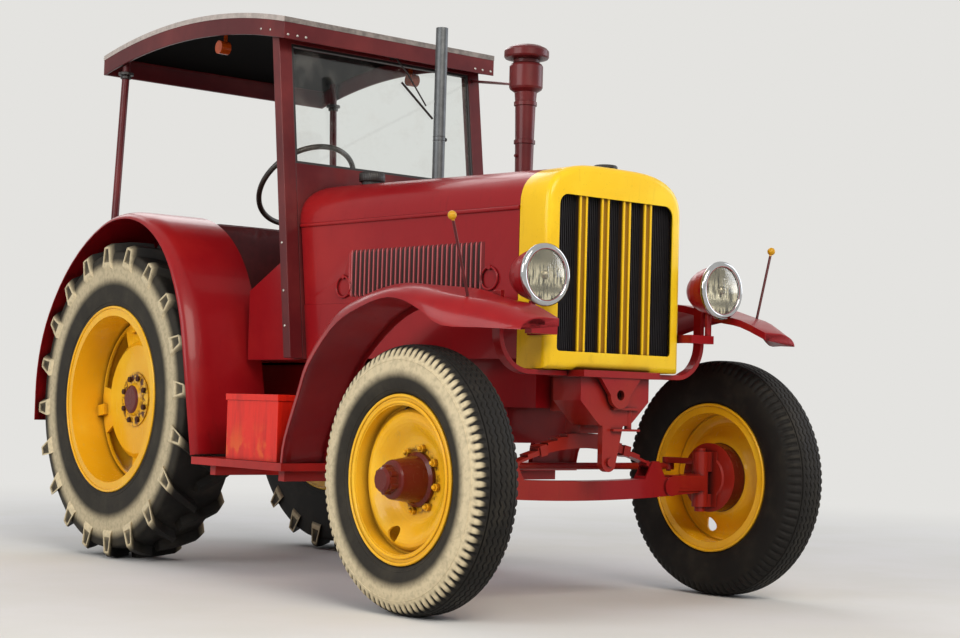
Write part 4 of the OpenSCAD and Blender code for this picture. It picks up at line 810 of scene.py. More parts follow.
def front_tread(angle, distance, sizes):
    """The share of a groove's depth at each angle and distance from the middle: four zigzag grooves
    |d - place - z(a)| < 3 mm with a triangle wave z, a straight one and shoulder notches."""
    wave = 4 * np.abs((angle * sizes.front_zigzags / TURN) % 1 - 0.5) - 1
    depth = np.zeros(np.broadcast(angle, distance).shape)
    for place in ZIGZAG_PLACES:
        gap = np.abs(distance - place - ZIGZAG_SWING * wave)
        depth = np.maximum(depth, np.clip(1.6 - gap / (1.9 * MM), 0, 1))
    side = np.abs(distance)
    depth = np.maximum(depth, np.clip(1.6 - np.abs(side - STRAIGHT_GROOVE) / (1.3 * MM), 0, 1))
    phase = (angle * sizes.front_notches / TURN) % 1
    notch = smooth_rise(0.05, 0.2, phase) * (1 - smooth_rise(0.4, 0.55, phase))
    notch = notch * smooth_rise(*NOTCH_START, side) * (1 - smooth_rise(*NOTCH_END, side))
    return np.maximum(depth, notch)


def round_axle(centre, side, radius, out, angle):
    """p = centre + (side out, radius cos a, radius sin a)."""
    shape = np.broadcast(radius, out, angle).shape
    return np.asarray(centre) + np.stack((np.broadcast_to(side * out, shape), radius * np.cos(angle),
                                          radius * np.sin(angle)), axis=-1)


FRONT_CROWN = 12 * MM
STEPS_A_ZIGZAG = 8
# The ribs on a sidewall: radius and distance out from the wheel's middle
FRONT_RIBS = ((398 * MM, 90.4 * MM), (303 * MM, 83.5 * MM))
FRONT_RIB_R = 2.2 * MM


class TRACTOR_OT_front_tyres(Operator):
    """Adds the front tyres, with their grooves, shoulder notches and sidewall ribs"""
    bl_idname = "tractor.front_tyres"
    bl_label = "Front tyres"

    def execute(self, context):
        sizes = context.scene.tractor_sizes
        section = tyre_section(radius_of("front_tyre_left"), 2 * half_width("front_tyre_left"),
                               sizes.front_seat_r, radius_of("front_wheel_left"), sizes.front_rim_w,
                               FRONT_CROWN, 22, 76)
        normal, distance = section_frame(section)
        steps = STEPS_A_ZIGZAG * sizes.front_zigzags
        angle = (np.arange(steps) * TURN / steps)[:, None]
        share = front_tread(angle, distance, sizes)
        cut = share * sizes.front_groove
        for word, side in SIDES.items():
            centre = JOINTS["front_roll_" + word]["pos_m"]
            shape = Shape()
            # The grooves' negative values take the pale tone out of them: painted shade
            shape.add(round_axle(centre, side, section[:, 0] - cut * normal[:, 0],
                                 section[:, 1] - cut * normal[:, 1], angle), True, True, -share)
            for radius, out in FRONT_RIBS:
                middle = np.add(centre, (side * out, 0, 0))
                shape.add(ring_tube(radius, FRONT_RIB_R, middle, (1, 0, 0), 180, 8), True, True)
            place_shape(shape, "front_tyre_moulding_" + word, "front_wheel_" + word, "front_tyre",
                        ("front_tyre_" + word,), 50)
        return {"FINISHED"}


LUG_TURN = math.radians(35)
LUG_MIDDLE = 81 * MM
LUG_ROOT_R = 545 * MM
LUG_TOP_HALF = 13 * MM
LUG_ROOT_HALF = 34 * MM
LUG_HOLLOW = 6 * MM
REAR_CROWN = 8 * MM
# How much narrower the carcass is than the tyre over its lugs
LUG_OVERHANG = 16 * MM
REAR_RIBS = ((424 * MM, 136.5 * MM), (598 * MM, 137 * MM))
REAR_RIB_R = 2.5 * MM


def lug_rings(outer_r, width, lug_h):
    """One lug as closed rings across it, at stations from the tyre's middle outwards. Its half width is
    h(z) = 13 + 21 (R - z) / (R - 545) mm, and a point x, c lies at y = s sin t + c cos t, where
    s = (x - 81 + c sin t) / cos t and t is the lug's turn. The end face has a shallow hollow."""
    out = width / 2
    x = np.array((-12, 0, 20, 45, 70, 90, 100, 114, 128, 140, 146, 150)) / 150 * out
    top = outer_r - np.interp(x, (70 * MM, 130 * MM, out), (0, 8 * MM, 26 * MM))
    low = outer_r - np.interp(x, (90 * MM, 100 * MM, 128 * MM, out),
                              (lug_h + 30 * MM, 138 * MM, 138 * MM, 112 * MM))
    drop = np.array((0, 0, 1.2, 5, 0, 0, 0, 0, 5, 1.2, 0, 0))[None, :] * MM
    inset = np.array((0, 0, 0, 0, 4, 2, 2, 4, 0, 0, 0, 0))[None, :] * MM
    share = np.array((0, 0.5, 1, 1, 1, 1, 1, 1, 1, 1, 0.5, 0))[None, :]
    order = np.array((0, 1, 3, 2, 4, 5, 6, 7, 9, 8, 10, 11))
    sign = np.array((-1, -1, -1, -1, -1, -1, 1, 1, 1, 1, 1, 1))[None, :]
    z = low[:, None] + share * (top - low)[:, None] - drop[:, order]
    slope = (LUG_ROOT_HALF - LUG_TOP_HALF) / (outer_r - LUG_ROOT_R)
    c = sign * (LUG_TOP_HALF + slope * (outer_r - z) - inset)
    across = np.broadcast_to(x[:, None], z.shape)
    s = (across - LUG_MIDDLE + c * math.sin(LUG_TURN)) / math.cos(LUG_TURN)
    y = s * math.sin(LUG_TURN) + c * math.cos(LUG_TURN)
    z = np.minimum(z, np.sqrt(outer_r ** 2 - y ** 2))
    rings = np.stack((across, y, z), axis=-1)
    end, middle = rings[-1], rings[-1].mean(axis=0)
    hollow = (LUG_HOLLOW, 0, 0)
    added = [middle + 0.72 * (end - middle), middle + 0.66 * (end - middle) - hollow,
             np.broadcast_to(middle - hollow, end.shape)]
    start = np.broadcast_to(rings[0].mean(axis=0), end.shape)
    # The lug's end rim gets high values, dust and painted highlight; its hollow gets none
    wear = np.concatenate(((0,), np.interp(x / out, (0.9, 0.97, 1), (0, 0.5, 1)), (0.9, 0.15, 0)))
    return np.concatenate((start[None], rings, np.stack(added))), wear[:, None]


def turned_about_x(points, angle):
    """(x, y cos a - z sin a, y sin a + z cos a)."""
    x, y, z = np.moveaxis(points, -1, 0)
    return np.stack((x, y * math.cos(angle) - z * math.sin(angle), y * math.sin(angle) + z * math.cos(angle)),
                    axis=-1)


class TRACTOR_OT_rear_tyres(Operator):
    """Adds the rear tyres, with lugs whose hollow ends stand out past the shoulders"""
    bl_idname = "tractor.rear_tyres"
    bl_label = "Rear tyres"

    def execute(self, context):
        sizes = context.scene.tractor_sizes
        outer_r, width = radius_of("rear_tyre_left"), 2 * half_width("rear_tyre_left")
        section = tyre_section(outer_r - sizes.lug_h, width - LUG_OVERHANG, sizes.rear_seat_r,
                               radius_of("rear_wheel_left"), sizes.rear_rim_w, REAR_CROWN, 18, 25)
        angle = (np.arange(180) * TURN / 180)[:, None]
        lug, wear = lug_rings(outer_r, width, sizes.lug_h)
        for word, side in SIDES.items():
            centre = np.array(JOINTS["rear_roll_" + word]["pos_m"])
            shape = Shape()
            shape.add(round_axle(centre, side, section[:, 0], section[:, 1], angle), True, True)
            for radius, out in REAR_RIBS:
                for face in (-1, 1):
                    middle = centre + (face * out, 0, 0)
                    shape.add(ring_tube(radius, REAR_RIB_R, middle, (1, 0, 0), 144, 8), True, True)
            for half in (0, 1):
                mirror = np.array((side * (1 - 2 * half), 1, 1))
                for step in range(sizes.lug_count):
                    at = TURN * (step + half / 2) / sizes.lug_count
                    shape.add(centre + turned_about_x(lug * mirror, at), False, True, wear)
            place_shape(shape, "rear_tyre_moulding_" + word, "rear_wheel_" + word, "rear_tyre",
                        ("rear_tyre_" + word,), 45)
        return {"FINISHED"}


# Wheels

# Circle of the fasteners, their foot along the axle, where the first one sits, and their height
FRONT_NUTS = (106 * MM, -8 * MM, 0.2, 15 * MM)
REAR_BOLTS = (96 * MM, 11.5 * MM, 0.35, 13 * MM)
FASTENERS = 8
STUD_END = domed_head(8 * MM, 6 * MM)
STUD_END_OUT = 20 * MM


def fastener_feet(joint, side, circle, out, first):
    """Points round a wheel's axle: centre + (side out, circle cos a, circle sin a)."""
    angle = np.arange(FASTENERS) * TURN / FASTENERS + first
    return round_axle(JOINTS[joint]["pos_m"], side, circle, out, angle)


class TRACTOR_OT_wheel_nuts(Operator):
    """Adds the front wheels' nuts on their studs and the rear hubs' bolts"""
    bl_idname = "tractor.wheel_nuts"
    bl_label = "Wheel nuts"

    def execute(self, context):
        sizes = context.scene.tractor_sizes
        for word, side in SIDES.items():
            nuts, bolts = Shape(), Shape()
            axis = (side, 0, 0)
            for foot in fastener_feet("front_roll_" + word, side, *FRONT_NUTS[:3]):
                nuts.add(turned(hex_head(sizes.wheel_nut, FRONT_NUTS[3]), foot, axis, 6), True)
                nuts.add(turned(STUD_END, foot + (side * STUD_END_OUT, 0, 0), axis, 12), True)
            for foot in fastener_feet("rear_roll_" + word, side, *REAR_BOLTS[:3]):
                bolts.add(turned(hex_head(sizes.hub_bolt, REAR_BOLTS[3]), foot, axis, 6), True)
            place_shape(nuts, "wheel_nuts_" + word, "front_wheel_" + word, "yellow")
            place_shape(bolts, "hub_bolts_" + word, "rear_wheel_" + word, "rusty_iron")
        return {"FINISHED"}


VALVE_R = 246 * MM
VALVE_OUT = 34 * MM
VALVE_LEAN = -12 * MM
VALVE_L = 22 * MM


def valve_stem(centre, side):
    """A rubber stem with a metal cap that leans out from the rim: p = foot + t (tip - foot), where t
    goes from -0.2 to 1, and the stem's radius falls from 6 to 3 mm."""
    foot = np.array(centre) + (side * VALVE_OUT, 0, VALVE_R)
    tip = foot + (side * VALVE_L, 0, VALVE_LEAN)
    path = foot + np.linspace(-0.2, 1, 8)[:, None] * (tip - foot)
    return swept(path, np.interp(np.linspace(0, 1, 8), (0, 0.6, 0.7, 1), (6, 4, 3, 3)) * MM, 12)


# The exhaust's clamp: how far its knob and its two bands are below the pipe's top
CLAMP_DROP = 451 * MM
CLAMP_BANDS = (443 * MM, 459 * MM)
CLAMP_KNOB = np.multiply(((0, 0), (4.5, 0), (4.5, 7), (7.6, 8), (7.6, 12), (0, 13)), MM)
CLAMP_BAND_R = 1.6 * MM
# The air intake's bolt: its place across and along the tractor, and its drop below the top
INTAKE_BOLT = (88 * MM, -762 * MM, 454 * MM)
INTAKE_BOLT_HEAD = hex_head(13 * MM, 16 * MM)
PILLAR_SCREW = domed_head(6 * MM, 3.5 * MM)
PILLAR_SCREWS_Z = (998 * MM, 1138 * MM, 1330 * MM)
# How far behind the glass the pillar's screws sit
PILLAR_SCREW_BACK = 22 * MM


class TRACTOR_OT_fittings(Operator):
    """Adds the front wheels' valves, the exhaust's clamp, the air intake's bolt and the pillars' screws"""
    bl_idname = "tractor.fittings"
    bl_label = "Small fittings"

    def execute(self, context):
        for word, side in SIDES.items():
            stem = Shape()
            stem.add(valve_stem(JOINTS["front_roll_" + word]["pos_m"], side), False, True)
            place_shape(stem, "front_valve_" + word, "front_wheel_" + word, "black")
        low, high = (np.array(corner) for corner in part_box("exhaust_pipe"))
        x, y = (low[:2] + high[:2]) / 2
        radius = (high[0] - low[0]) / 2
        clamp = Shape()
        clamp.add(turned(CLAMP_KNOB, (x + radius - MM, y, high[2] - CLAMP_DROP), (1, 0, 0), 16), True)
        for drop in CLAMP_BANDS:
            clamp.add(ring_tube(radius, CLAMP_BAND_R, (x, y, high[2] - drop), (0, 0, 1), 48, 8), True, True)
        place_shape(clamp, "exhaust_clamp", "chassis", "pipe")
        bolt = Shape()
        x, y, drop = INTAKE_BOLT
        foot = (x, y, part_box("air_intake")[1][2] - drop)
        bolt.add(turned(INTAKE_BOLT_HEAD, foot, (-1, 0, 0), 6), True)
        place_shape(bolt, "intake_bolt", "chassis", "maroon")
        screws = Shape()
        pillar_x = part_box("windscreen_frame")[1][0]
        for side in SIDES.values():
            for z in PILLAR_SCREWS_Z:
                y = SCREEN_PLACE[1] + (z - SCREEN_PLACE[2]) * math.tan(SCREEN_RAKE) + PILLAR_SCREW_BACK
                screws.add(turned(PILLAR_SCREW, (side * pillar_x, y, z), (side, 0, 0), 14), True)
        place_shape(screws, "pillar_screws", "chassis", "zinc")
        return {"FINISHED"}


# Radiator and lamps

# A fin's half thickness, how far it stands forwards, and its distance from the core's foot and top
FIN_HALF = MM
FIN_REACH = 7 * MM
FIN_FOOT = 40 * MM
FIN_TOP = 20 * MM
# The caps' profiles, as radius and height, and the places of their axes within the node's box
RADIATOR_CAP = np.multiply(((0, -4), (38, -4), (38, 2), (44, 3), (44, 10), (40, 14), (12, 17), (0, 17)), MM)
FUEL_CAP = np.multiply(((0, -102), (40, -102), (40, -41), (50, -40), (52, -36), (52, -9), (47, -3),
                        (20, 0), (0, 0)), MM)
RADIATOR_CAP_R = 44 * MM
FUEL_CAP_R = 52 * MM
MILLING_DEPTH = 0.015


class TRACTOR_OT_radiator(Operator):
    """Adds the radiator's fins and the filler caps with their milled skirts"""
    bl_idname = "tractor.radiator"
    bl_label = "Radiator and caps"

    def execute(self, context):
        pitch = context.scene.tractor_sizes.fin_pitch
        low, high = (np.array(corner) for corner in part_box("radiator_core"))
        fins = Shape()
        count = int((high[0] - low[0] - 20 * MM) / pitch)
        for x in (np.arange(count) - (count - 1) / 2) * pitch:
            fins.add(block((x - FIN_HALF, low[1] - FIN_REACH, low[2] + FIN_FOOT),
                           (x + FIN_HALF, low[1] + MM, high[2] - FIN_TOP)), False, True)
        place_shape(fins, "radiator_fins", "chassis", "core")
        caps = Shape()
        low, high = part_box("filler_caps")
        front = (0.0, low[1] + RADIATOR_CAP_R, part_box("radiator_shell")[1][2])
        rear = (low[0] + FUEL_CAP_R, high[1] - FUEL_CAP_R, high[2])
        caps.add(turned(RADIATOR_CAP, front, (0, 0, 1), 96, 24, MILLING_DEPTH), True)
        caps.add(turned(FUEL_CAP, rear, (0, 0, 1), 144, 36, MILLING_DEPTH), True)
        place_shape(caps, "milled_caps", "chassis", "black", ("filler_caps",))
        return {"FINISHED"}


LAMP_X = 430 * MM
LENS_EDGE = 8 * MM
LENS_BULGE = 13 * MM
LENS_T = 3 * MM
FLUTE_H = 1.2 * MM
FLUTE_PITCH = 9 * MM


def lens_grid(centre, radius, rings=28, steps=96):
    """A ribbed lens that bulges forwards: y = -edge - bulge (1 - (r / R)^2) - flute |sin(pi x / pitch)|
    in front, and the same without its flutes a lens thickness behind that at the back."""
    r = np.linspace(0, 1, rings)[None, :]
    a = (np.arange(steps) * TURN / steps)[:, None]
    x, z = radius * r * np.cos(a), radius * r * np.sin(a)
    bulge = LENS_BULGE * (1 - r ** 2)
    flutes = FLUTE_H * np.abs(np.sin(math.pi * x / FLUTE_PITCH)) * smooth_rise(0.95, 0.88, r)
    y = -LENS_EDGE - bulge - flutes
    front = np.stack((x, y, z), axis=-1)
    smooth_back = LENS_T - LENS_EDGE - bulge + np.zeros_like(x)
    back = np.stack((x, smooth_back, z), axis=-1)[:, ::-1]
    return np.asarray(centre) + np.concatenate((front, back), axis=1)


LAMP_RING_R = 11.5 * MM
# How far the ring's middle lies inside the lamp's radius, and in front of the lens's seat
LAMP_RING_IN = 9.5 * MM
LAMP_RING_FORWARD = 3 * MM
REFLECTOR_T = 0.1 * MM
REFLECTOR_FOOT = 0.6 * MM
REFLECTOR_DISH = 4 * MM
BULB_SHIELD = np.multiply(((0, 0.5), (16, 0.7), (15, 6), (9, 12), (0, 14)), MM)


class TRACTOR_OT_headlamps(Operator):
    """Adds the headlamps' chromed rings, reflectors and ribbed lenses"""
    bl_idname = "tractor.headlamps"
    bl_label = "Headlamps"

    def execute(self, context):
        ring_r = context.scene.tractor_sizes.lamp_r - LAMP_RING_IN
        low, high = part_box("headlamp_glass")
        lens_r = high[0] - LAMP_X
        rings, lenses, mirrors, bulbs = Shape(), Shape(), Shape(), Shape()
        share = np.linspace(1, 0, 16)
        dish = np.stack((lens_r * share, REFLECTOR_FOOT + REFLECTOR_DISH * share ** 2), axis=1)
        dish = np.concatenate((((0, REFLECTOR_T), (lens_r, REFLECTOR_T)), dish))
        for side in SIDES.values():
            centre = np.array((side * LAMP_X, high[1], (low[2] + high[2]) / 2))
            rings.add(ring_tube(ring_r, LAMP_RING_R, centre - (0, LAMP_RING_FORWARD, 0), (0, 1, 0), 96, 16),
                      True, True)
            lenses.add(lens_grid(centre, lens_r), True, False)
            mirrors.add(turned(dish, centre, (0, -1, 0), 64), True)
            bulbs.add(turned(BULB_SHIELD, centre, (0, -1, 0), 32), True)
        place_shape(rings, "lamp_rings", "chassis", "chrome")
        place_shape(lenses, "lamp_lenses", "chassis", "lens", ("headlamp_glass",), 60)
        place_shape(mirrors, "lamp_reflectors", "chassis", "mirror")
        place_shape(bulbs, "lamp_bulb_shields", "chassis", "zinc")
        return {"FINISHED"}


# Cab

SCREEN_RAKE = math.radians(6.9)
SCREEN_PLACE = np.array((0.0, -21 * MM, 1670 * MM))
SCREEN_AXES = np.array(((1, 0, 0), (0, math.sin(SCREEN_RAKE), math.cos(SCREEN_RAKE)),
                        (0, -math.cos(SCREEN_RAKE), math.sin(SCREEN_RAKE))))


def on_screen(points):
    """Points given across the windscreen, up its glass and out in front of it: place + point axes."""
    return SCREEN_PLACE + points @ SCREEN_AXES


SEAL_W = 9 * MM
SEAL_HALF = 7 * MM
# The wiper's points on the screen: across, up the glass and out in front of it
WIPER_PIVOT = np.multiply(((45, 500, 8), (45, 500, 34)), MM)
WIPER_ARM = np.multiply(((45, 500, 30), (111, 431, 30), (212, 309, 16)), MM)
WIPER_BLADE = np.multiply(((92, 397, 10), (249, 258, 10)), MM)
WIPER_PIVOT_R = 13 * MM
WIPER_BLADE_R = 5 * MM


class TRACTOR_OT_windscreen(Operator):
    """Adds the windscreen's rubber seal and its wiper"""
    bl_idname = "tractor.windscreen"
    bl_label = "Windscreen"

    def execute(self, context):
        low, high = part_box("windscreen_glass")
        left, right = low[0], high[0]
        foot = (low[2] - SCREEN_PLACE[2]) / math.cos(SCREEN_RAKE) + MM
        top = (high[2] - SCREEN_PLACE[2]) / math.cos(SCREEN_RAKE) - MM
        seal = Shape()
        for x0, x1, up0, up1 in ((left, left + SEAL_W, foot, top), (right - SEAL_W, right, foot, top),
                                 (left + SEAL_W, right - SEAL_W, foot, foot + SEAL_W),
                                 (left + SEAL_W, right - SEAL_W, top - SEAL_W, top)):
            seal.add(block((x0, up0, -SEAL_HALF), (x1, up1, SEAL_HALF), SCREEN_PLACE, SCREEN_AXES),
                     False, True)
        place_shape(seal, "screen_seal", "chassis", "black", (), 30, 1.5)
        wiper = Shape()
        arm_r = context.scene.tractor_sizes.wiper_r
        for path, radius, sides in ((WIPER_PIVOT, WIPER_PIVOT_R, 20), (WIPER_ARM, arm_r, 10),
                                    (WIPER_BLADE, WIPER_BLADE_R, 10)):
            wiper.add(swept(on_screen(path), radius, sides), False, True)
        place_shape(wiper, "wiper", "chassis", "black")
        return {"FINISHED"}


ROOF_FRONT_Z = 2236 * MM
ROOF_REAR_Z = 2262 * MM
ROOF_ARCH_R = 3300 * MM
ROOF_FRONT_HALF = 545 * MM


def roof_edge(y0, y1, half1):
    """The roof's top edge: z = c + sqrt(R^2 - (y - m)^2), and x grows evenly to the back."""
    middle = (y0 + y1) / 2 + (ROOF_REAR_Z - ROOF_FRONT_Z) * ROOF_ARCH_R / (y1 - y0)
    y = np.linspace(y0, y1, 41)
    rise = np.sqrt(ROOF_ARCH_R ** 2 - (y - middle) ** 2)
    x = np.interp(y, (y0, y1), (ROOF_FRONT_HALF, half1))
    return np.stack((x, y, ROOF_FRONT_Z + rise - rise[0]), axis=1)


EDGING_REACH = 16 * MM
EDGING_T = 1.2 * MM
# The board's screws: their places along its sides and across its front, and their drop below its top
SIDE_SCREWS_Y = (51 * MM, 117 * MM)
SIDE_SCREW_DROP = 62 * MM
FRONT_SCREWS_X = (526 * MM, 481 * MM, 440 * MM)
FRONT_SCREW_DROP = 70 * MM
# How far inside the edging the near-black sheet of painted shade ends, and its two faces below the roof's top
SHADE_SHEET_INSET = 14 * MM
SHADE_SHEET_DROPS = (12.2 * MM, 14.5 * MM)
# A roof post's axis at two heights, and its collars' heights and radii
POST_FOOT = np.multiply((600, 1238, 1400), MM)
POST_TOP = np.multiply((564, 1228, 2320), MM)
POST_COLLARS = ((2150 * MM, 24 * MM), (2166 * MM, 34 * MM))


def bent_sheet(edge, inset, drops):
    """A sheet between both sides of the roof with two faces at given drops below its edge:
    p(i, s) = (s (x_i - inset), y_i, z_i - drop), s from -1 to 1. Gives the faces and the two ends."""
    across = np.linspace(-1, 1, 9)[:, None] * (edge[:, 0] - inset)
    top, foot = (np.stack((across, np.broadcast_to(edge[:, 1], across.shape),
                           np.broadcast_to(edge[:, 2] - drop, across.shape)), axis=-1) for drop in drops)
    return (np.concatenate((top, foot[:, ::-1]), axis=1), np.stack((top[0], foot[0])),
            np.stack((foot[-1], top[-1])))


class TRACTOR_OT_roof_trim(Operator):
    """Adds the roof's metal edging with its nails, its boards' screws, a near-black sheet of painted shade under
    it and the posts' collars
    """
    bl_idname = "tractor.roof_trim"
    bl_label = "Roof trim"

    def execute(self, context):
        low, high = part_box("roof")
        edge = roof_edge(low[1], high[1], high[0])
        drop = context.scene.tractor_sizes.edging_h
        angle_section = ((EDGING_T, -drop), (EDGING_T, EDGING_T), (-EDGING_REACH, EDGING_T),
                         (-EDGING_REACH, 0), (0, 0), (0, -drop))
        nail, screw = domed_head(3.2 * MM, 1.2 * MM), domed_head(5.5 * MM, 3 * MM)
        edging, end_edging, nails, screws = Shape(), Shape(), Shape(), Shape()
        lining, collars = Shape(), Shape()
        for side in SIDES.values():
            corner = edge * (side, 1, 1)
            rows = np.stack([corner + (side * across, 0, up) for across, up in angle_section], axis=1)
            ends = [np.broadcast_to(rows[end].mean(axis=0), rows[0].shape)[None] for end in (0, -1)]
            edging.add(np.concatenate((ends[0], rows, ends[1])), False, True)
            for place in corner[1::3]:
                foot = place + (side * EDGING_T, 0, -drop * 0.45)
                nails.add(turned(nail, foot, (side, 0, 0), 10), True)
            for y in SIDE_SCREWS_Y:
                foot = (side * np.interp(y, edge[:, 1], edge[:, 0]), y,
                        np.interp(y, edge[:, 1], edge[:, 2]) - SIDE_SCREW_DROP)
                screws.add(turned(screw, foot, (side, 0, 0), 14), True)
            for x in FRONT_SCREWS_X:
                foot = (side * x, low[1], ROOF_FRONT_Z - FRONT_SCREW_DROP)
                screws.add(turned(screw, foot, (0, -1, 0), 14), True)
            for z, radius in POST_COLLARS:
                share = (z - POST_FOOT[2]) / (POST_TOP[2] - POST_FOOT[2])
                place = (POST_FOOT + share * (POST_TOP - POST_FOOT)) * (side, 1, 1)
                profile = ((0, -7 * MM), (radius, -7 * MM), (radius, 5 * MM), (0, 5 * MM))
                collars.add(turned(profile, place, (0, 0, 1), 32), True)
        for (half, y, z), face in ((edge[0], -1), (edge[-1], 1)):
            front, back = sorted((y, y + face * EDGING_T))
            end_edging.add(block((-half, front, z - drop), (half, back, z + EDGING_T)), False, True)
        faces, *ends = bent_sheet(edge[1:-1], SHADE_SHEET_INSET, SHADE_SHEET_DROPS)
        lining.add(faces, False, True)
        for end in ends:
            lining.add(end)
        place_shape(lining, "roof_lining", "chassis", "lining")
        place_shape(collars, "post_collars", "chassis", "black", (), 40, 1.0)
        place_shape(edging, "roof_edging", "chassis", "trim", (), 30)
        place_shape(end_edging, "roof_end_edging", "chassis", "dull_trim", (), 30)
        place_shape(nails, "edging_nails", "chassis", "zinc")
        place_shape(screws, "board_screws", "chassis", "zinc")
        return {"FINISHED"}


# Each cushion's foam is smaller than its place by this much on each side, to leave room for its swelling
CUSHION_INSET = np.multiply((10, 10, 8), MM)
CUSHION_PULL = 0.06
CUSHION_VOXEL = 8 * MM
CLOTH_PRESSURE = 4.0
CLOTH_STEPS = 20
# The seat cushion's depth and thickness, and the back cushion's thickness and height
SEAT_SIZE = (400 * MM, 100 * MM)
BACK_SIZE = (89.7 * MM, 420 * MM)
# How far in from a cushion's face its welt is sewn, and the welt's radius
WELT_IN = 26 * MM
WELT_R = 3 * MM


def rounded_block(low, high, steps=14):
    """A box whose sides pull in towards its corners: p = middle + half q (1 - pull (q_next q_last)^2),
    where q runs from -1 to 1 over the six faces."""
    middle, half = (high + low) / 2, (high - low) / 2
    u = np.linspace(-1, 1, steps)
    a, b = np.meshgrid(u, u, indexing="ij")
    one = np.ones_like(a)
    faces = []
    for axis in range(3):
        for end in (-1.0, 1.0):
            q = np.empty(a.shape + (3,))
            q[..., axis] = end * one
            q[..., (axis + 1) % 3] = a
            q[..., (axis + 2) % 3] = b
            pull = 1 - CUSHION_PULL * np.abs(q[..., [1, 2, 0]] * q[..., [2, 0, 1]]) ** 2
            faces.append(middle + half * q * pull)
    return faces


def welt(points, axis, level, steps=360, sides=8):
    """A welt sewn round a cushion at one level of an axis. It lies as far out in each direction from
    the middle as the cushion's own points within 5 mm of the level do:
    p(a, b) = path(a) + radius (cos b outwards + sin b axis)."""
    flat = [k for k in range(3) if k != axis]
    near = points[np.abs(points[:, axis] - level) < 5 * MM][:, flat]
    middle = (near.min(axis=0) + near.max(axis=0)) / 2
    away = near - middle
    turn = np.arctan2(away[:, 1], away[:, 0])
    angle = np.arange(steps) * TURN / steps - math.pi
    reach = np.interp(angle, np.sort(turn), np.linalg.norm(away, axis=1)[np.argsort(turn)], period=TURN)
    reach = np.convolve(np.concatenate((reach[-4:], reach, reach[:4])), np.full(9, 1 / 9), "valid")
    path = np.full((steps, 3), level)
    path[:, flat] = middle + reach[:, None] * np.stack((np.cos(angle), np.sin(angle)), axis=1)
    tangent = np.roll(path, -1, axis=0) - np.roll(path, 1, axis=0)
    tangent /= np.linalg.norm(tangent, axis=1)[:, None]
    up = np.eye(3)[axis]
    outwards = np.cross(tangent, up)
    b = np.arange(sides)[None, :, None] * TURN / sides
    return path[:, None] + WELT_R * (np.cos(b) * outwards[:, None] + np.sin(b) * up)


def mesh_points(mesh):
    """A mesh's vertices as rows of x, y, z."""
    points = np.empty(len(mesh.vertices) * 3, np.float32)
    mesh.vertices.foreach_get("co", points)
    return points.reshape(-1, 3)


def blow_up(piece, most):
    """Cloth pressure on a closed mesh, with every point's travel capped: p = start + travel
    min(1, most / |travel|)."""
    start = mesh_points(piece.data)
    cloth = piece.modifiers.new("cloth", "CLOTH")
    cloth.settings.use_pressure = True
    cloth.settings.uniform_pressure_force = CLOTH_PRESSURE
    cloth.settings.effector_weights.gravity = 0.0
    cloth.point_cache.frame_start, cloth.point_cache.frame_end = 1, CLOTH_STEPS
    scene = bpy.context.scene
    for step in range(1, CLOTH_STEPS + 1):
        scene.frame_set(step)
    travel = mesh_points(piece.evaluated_get(bpy.context.evaluated_depsgraph_get()).data) - start
    piece.modifiers.remove(cloth)
    size = np.linalg.norm(travel, axis=1, keepdims=True)
    travel *= np.minimum(1, most / np.maximum(size, 1e-9))
    piece.data.vertices.foreach_set("co", (start + travel).ravel())
    piece.data.update()
    scene.frame_set(1)


class TRACTOR_OT_cushions(Operator):
    """Adds the seat's two stuffed cushions and the welts sewn round their edges"""
    bl_idname = "tractor.cushions"
    bl_label = "Seat cushions"

    def execute(self, context):
        low, high = (np.array(corner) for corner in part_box("seat_pads"))
        seat_high = np.array((high[0], low[1] + SEAT_SIZE[0], low[2] + SEAT_SIZE[1]))
        back_low = np.array((low[0], high[1] - BACK_SIZE[0], high[2] - BACK_SIZE[1]))
        made, welts = [], Shape()
        for name, pad_low, pad_high, axis in (("seat_cushion", low, seat_high, 2),
                                              ("back_cushion", back_low, high, 1)):
            shape = Shape()
            for face in rounded_block(pad_low + CUSHION_INSET, pad_high - CUSHION_INSET):
                shape.add(face)
            mesh = shape.mesh(name)
            merge_points(mesh)
            piece = bpy.data.objects.new(name, mesh)
            context.scene.collection.objects.link(piece)
            remesh = piece.modifiers.new("remesh", "REMESH")
            remesh.mode = "VOXEL"
            remesh.voxel_size = CUSHION_VOXEL
            solid = piece.evaluated_get(context.evaluated_depsgraph_get())
            piece.data = bpy.data.meshes.new_from_object(solid)
            piece.data.name = name
            piece.modifiers.remove(remesh)
            blow_up(piece, context.scene.tractor_sizes.cushion_swell)
            for level in (pad_low[axis] + WELT_IN, pad_high[axis] - WELT_IN):
                welts.add(welt(mesh_points(piece.data), axis, level), True, True)
            piece.data.materials.clear()
            piece.data.materials.append(FINISHES["seat"])
            piece.data.shade_smooth()
            soft = piece.modifiers.new("soft", "SUBSURF")
            soft.levels = soft.render_levels = 1
            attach(piece, "chassis")
            made.append(piece)
        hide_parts("seat_pads")
        place_shape(welts, "seat_welts", "chassis", "seat", (), 60)
        return {"FINISHED"}


# Stage

BACKGROUND = "#e4e3e0"
CAMERA_PLACE = Vector((-4.2922, -5.9209, 0.7013))
CAMERA_YAW = 39.23
CAMERA_PITCH = 2.849
CAMERA_ROLL = 1.5325
CAMERA_LENS = 65.58
SENSOR_WIDTH = 36.0
FLOOR_HALF = 40.0
# Distances from the tractor at which the floor starts to fade and is gone
FLOOR_FADE = (2.6, 7.5)
WORLD_STRENGTH = 0.4
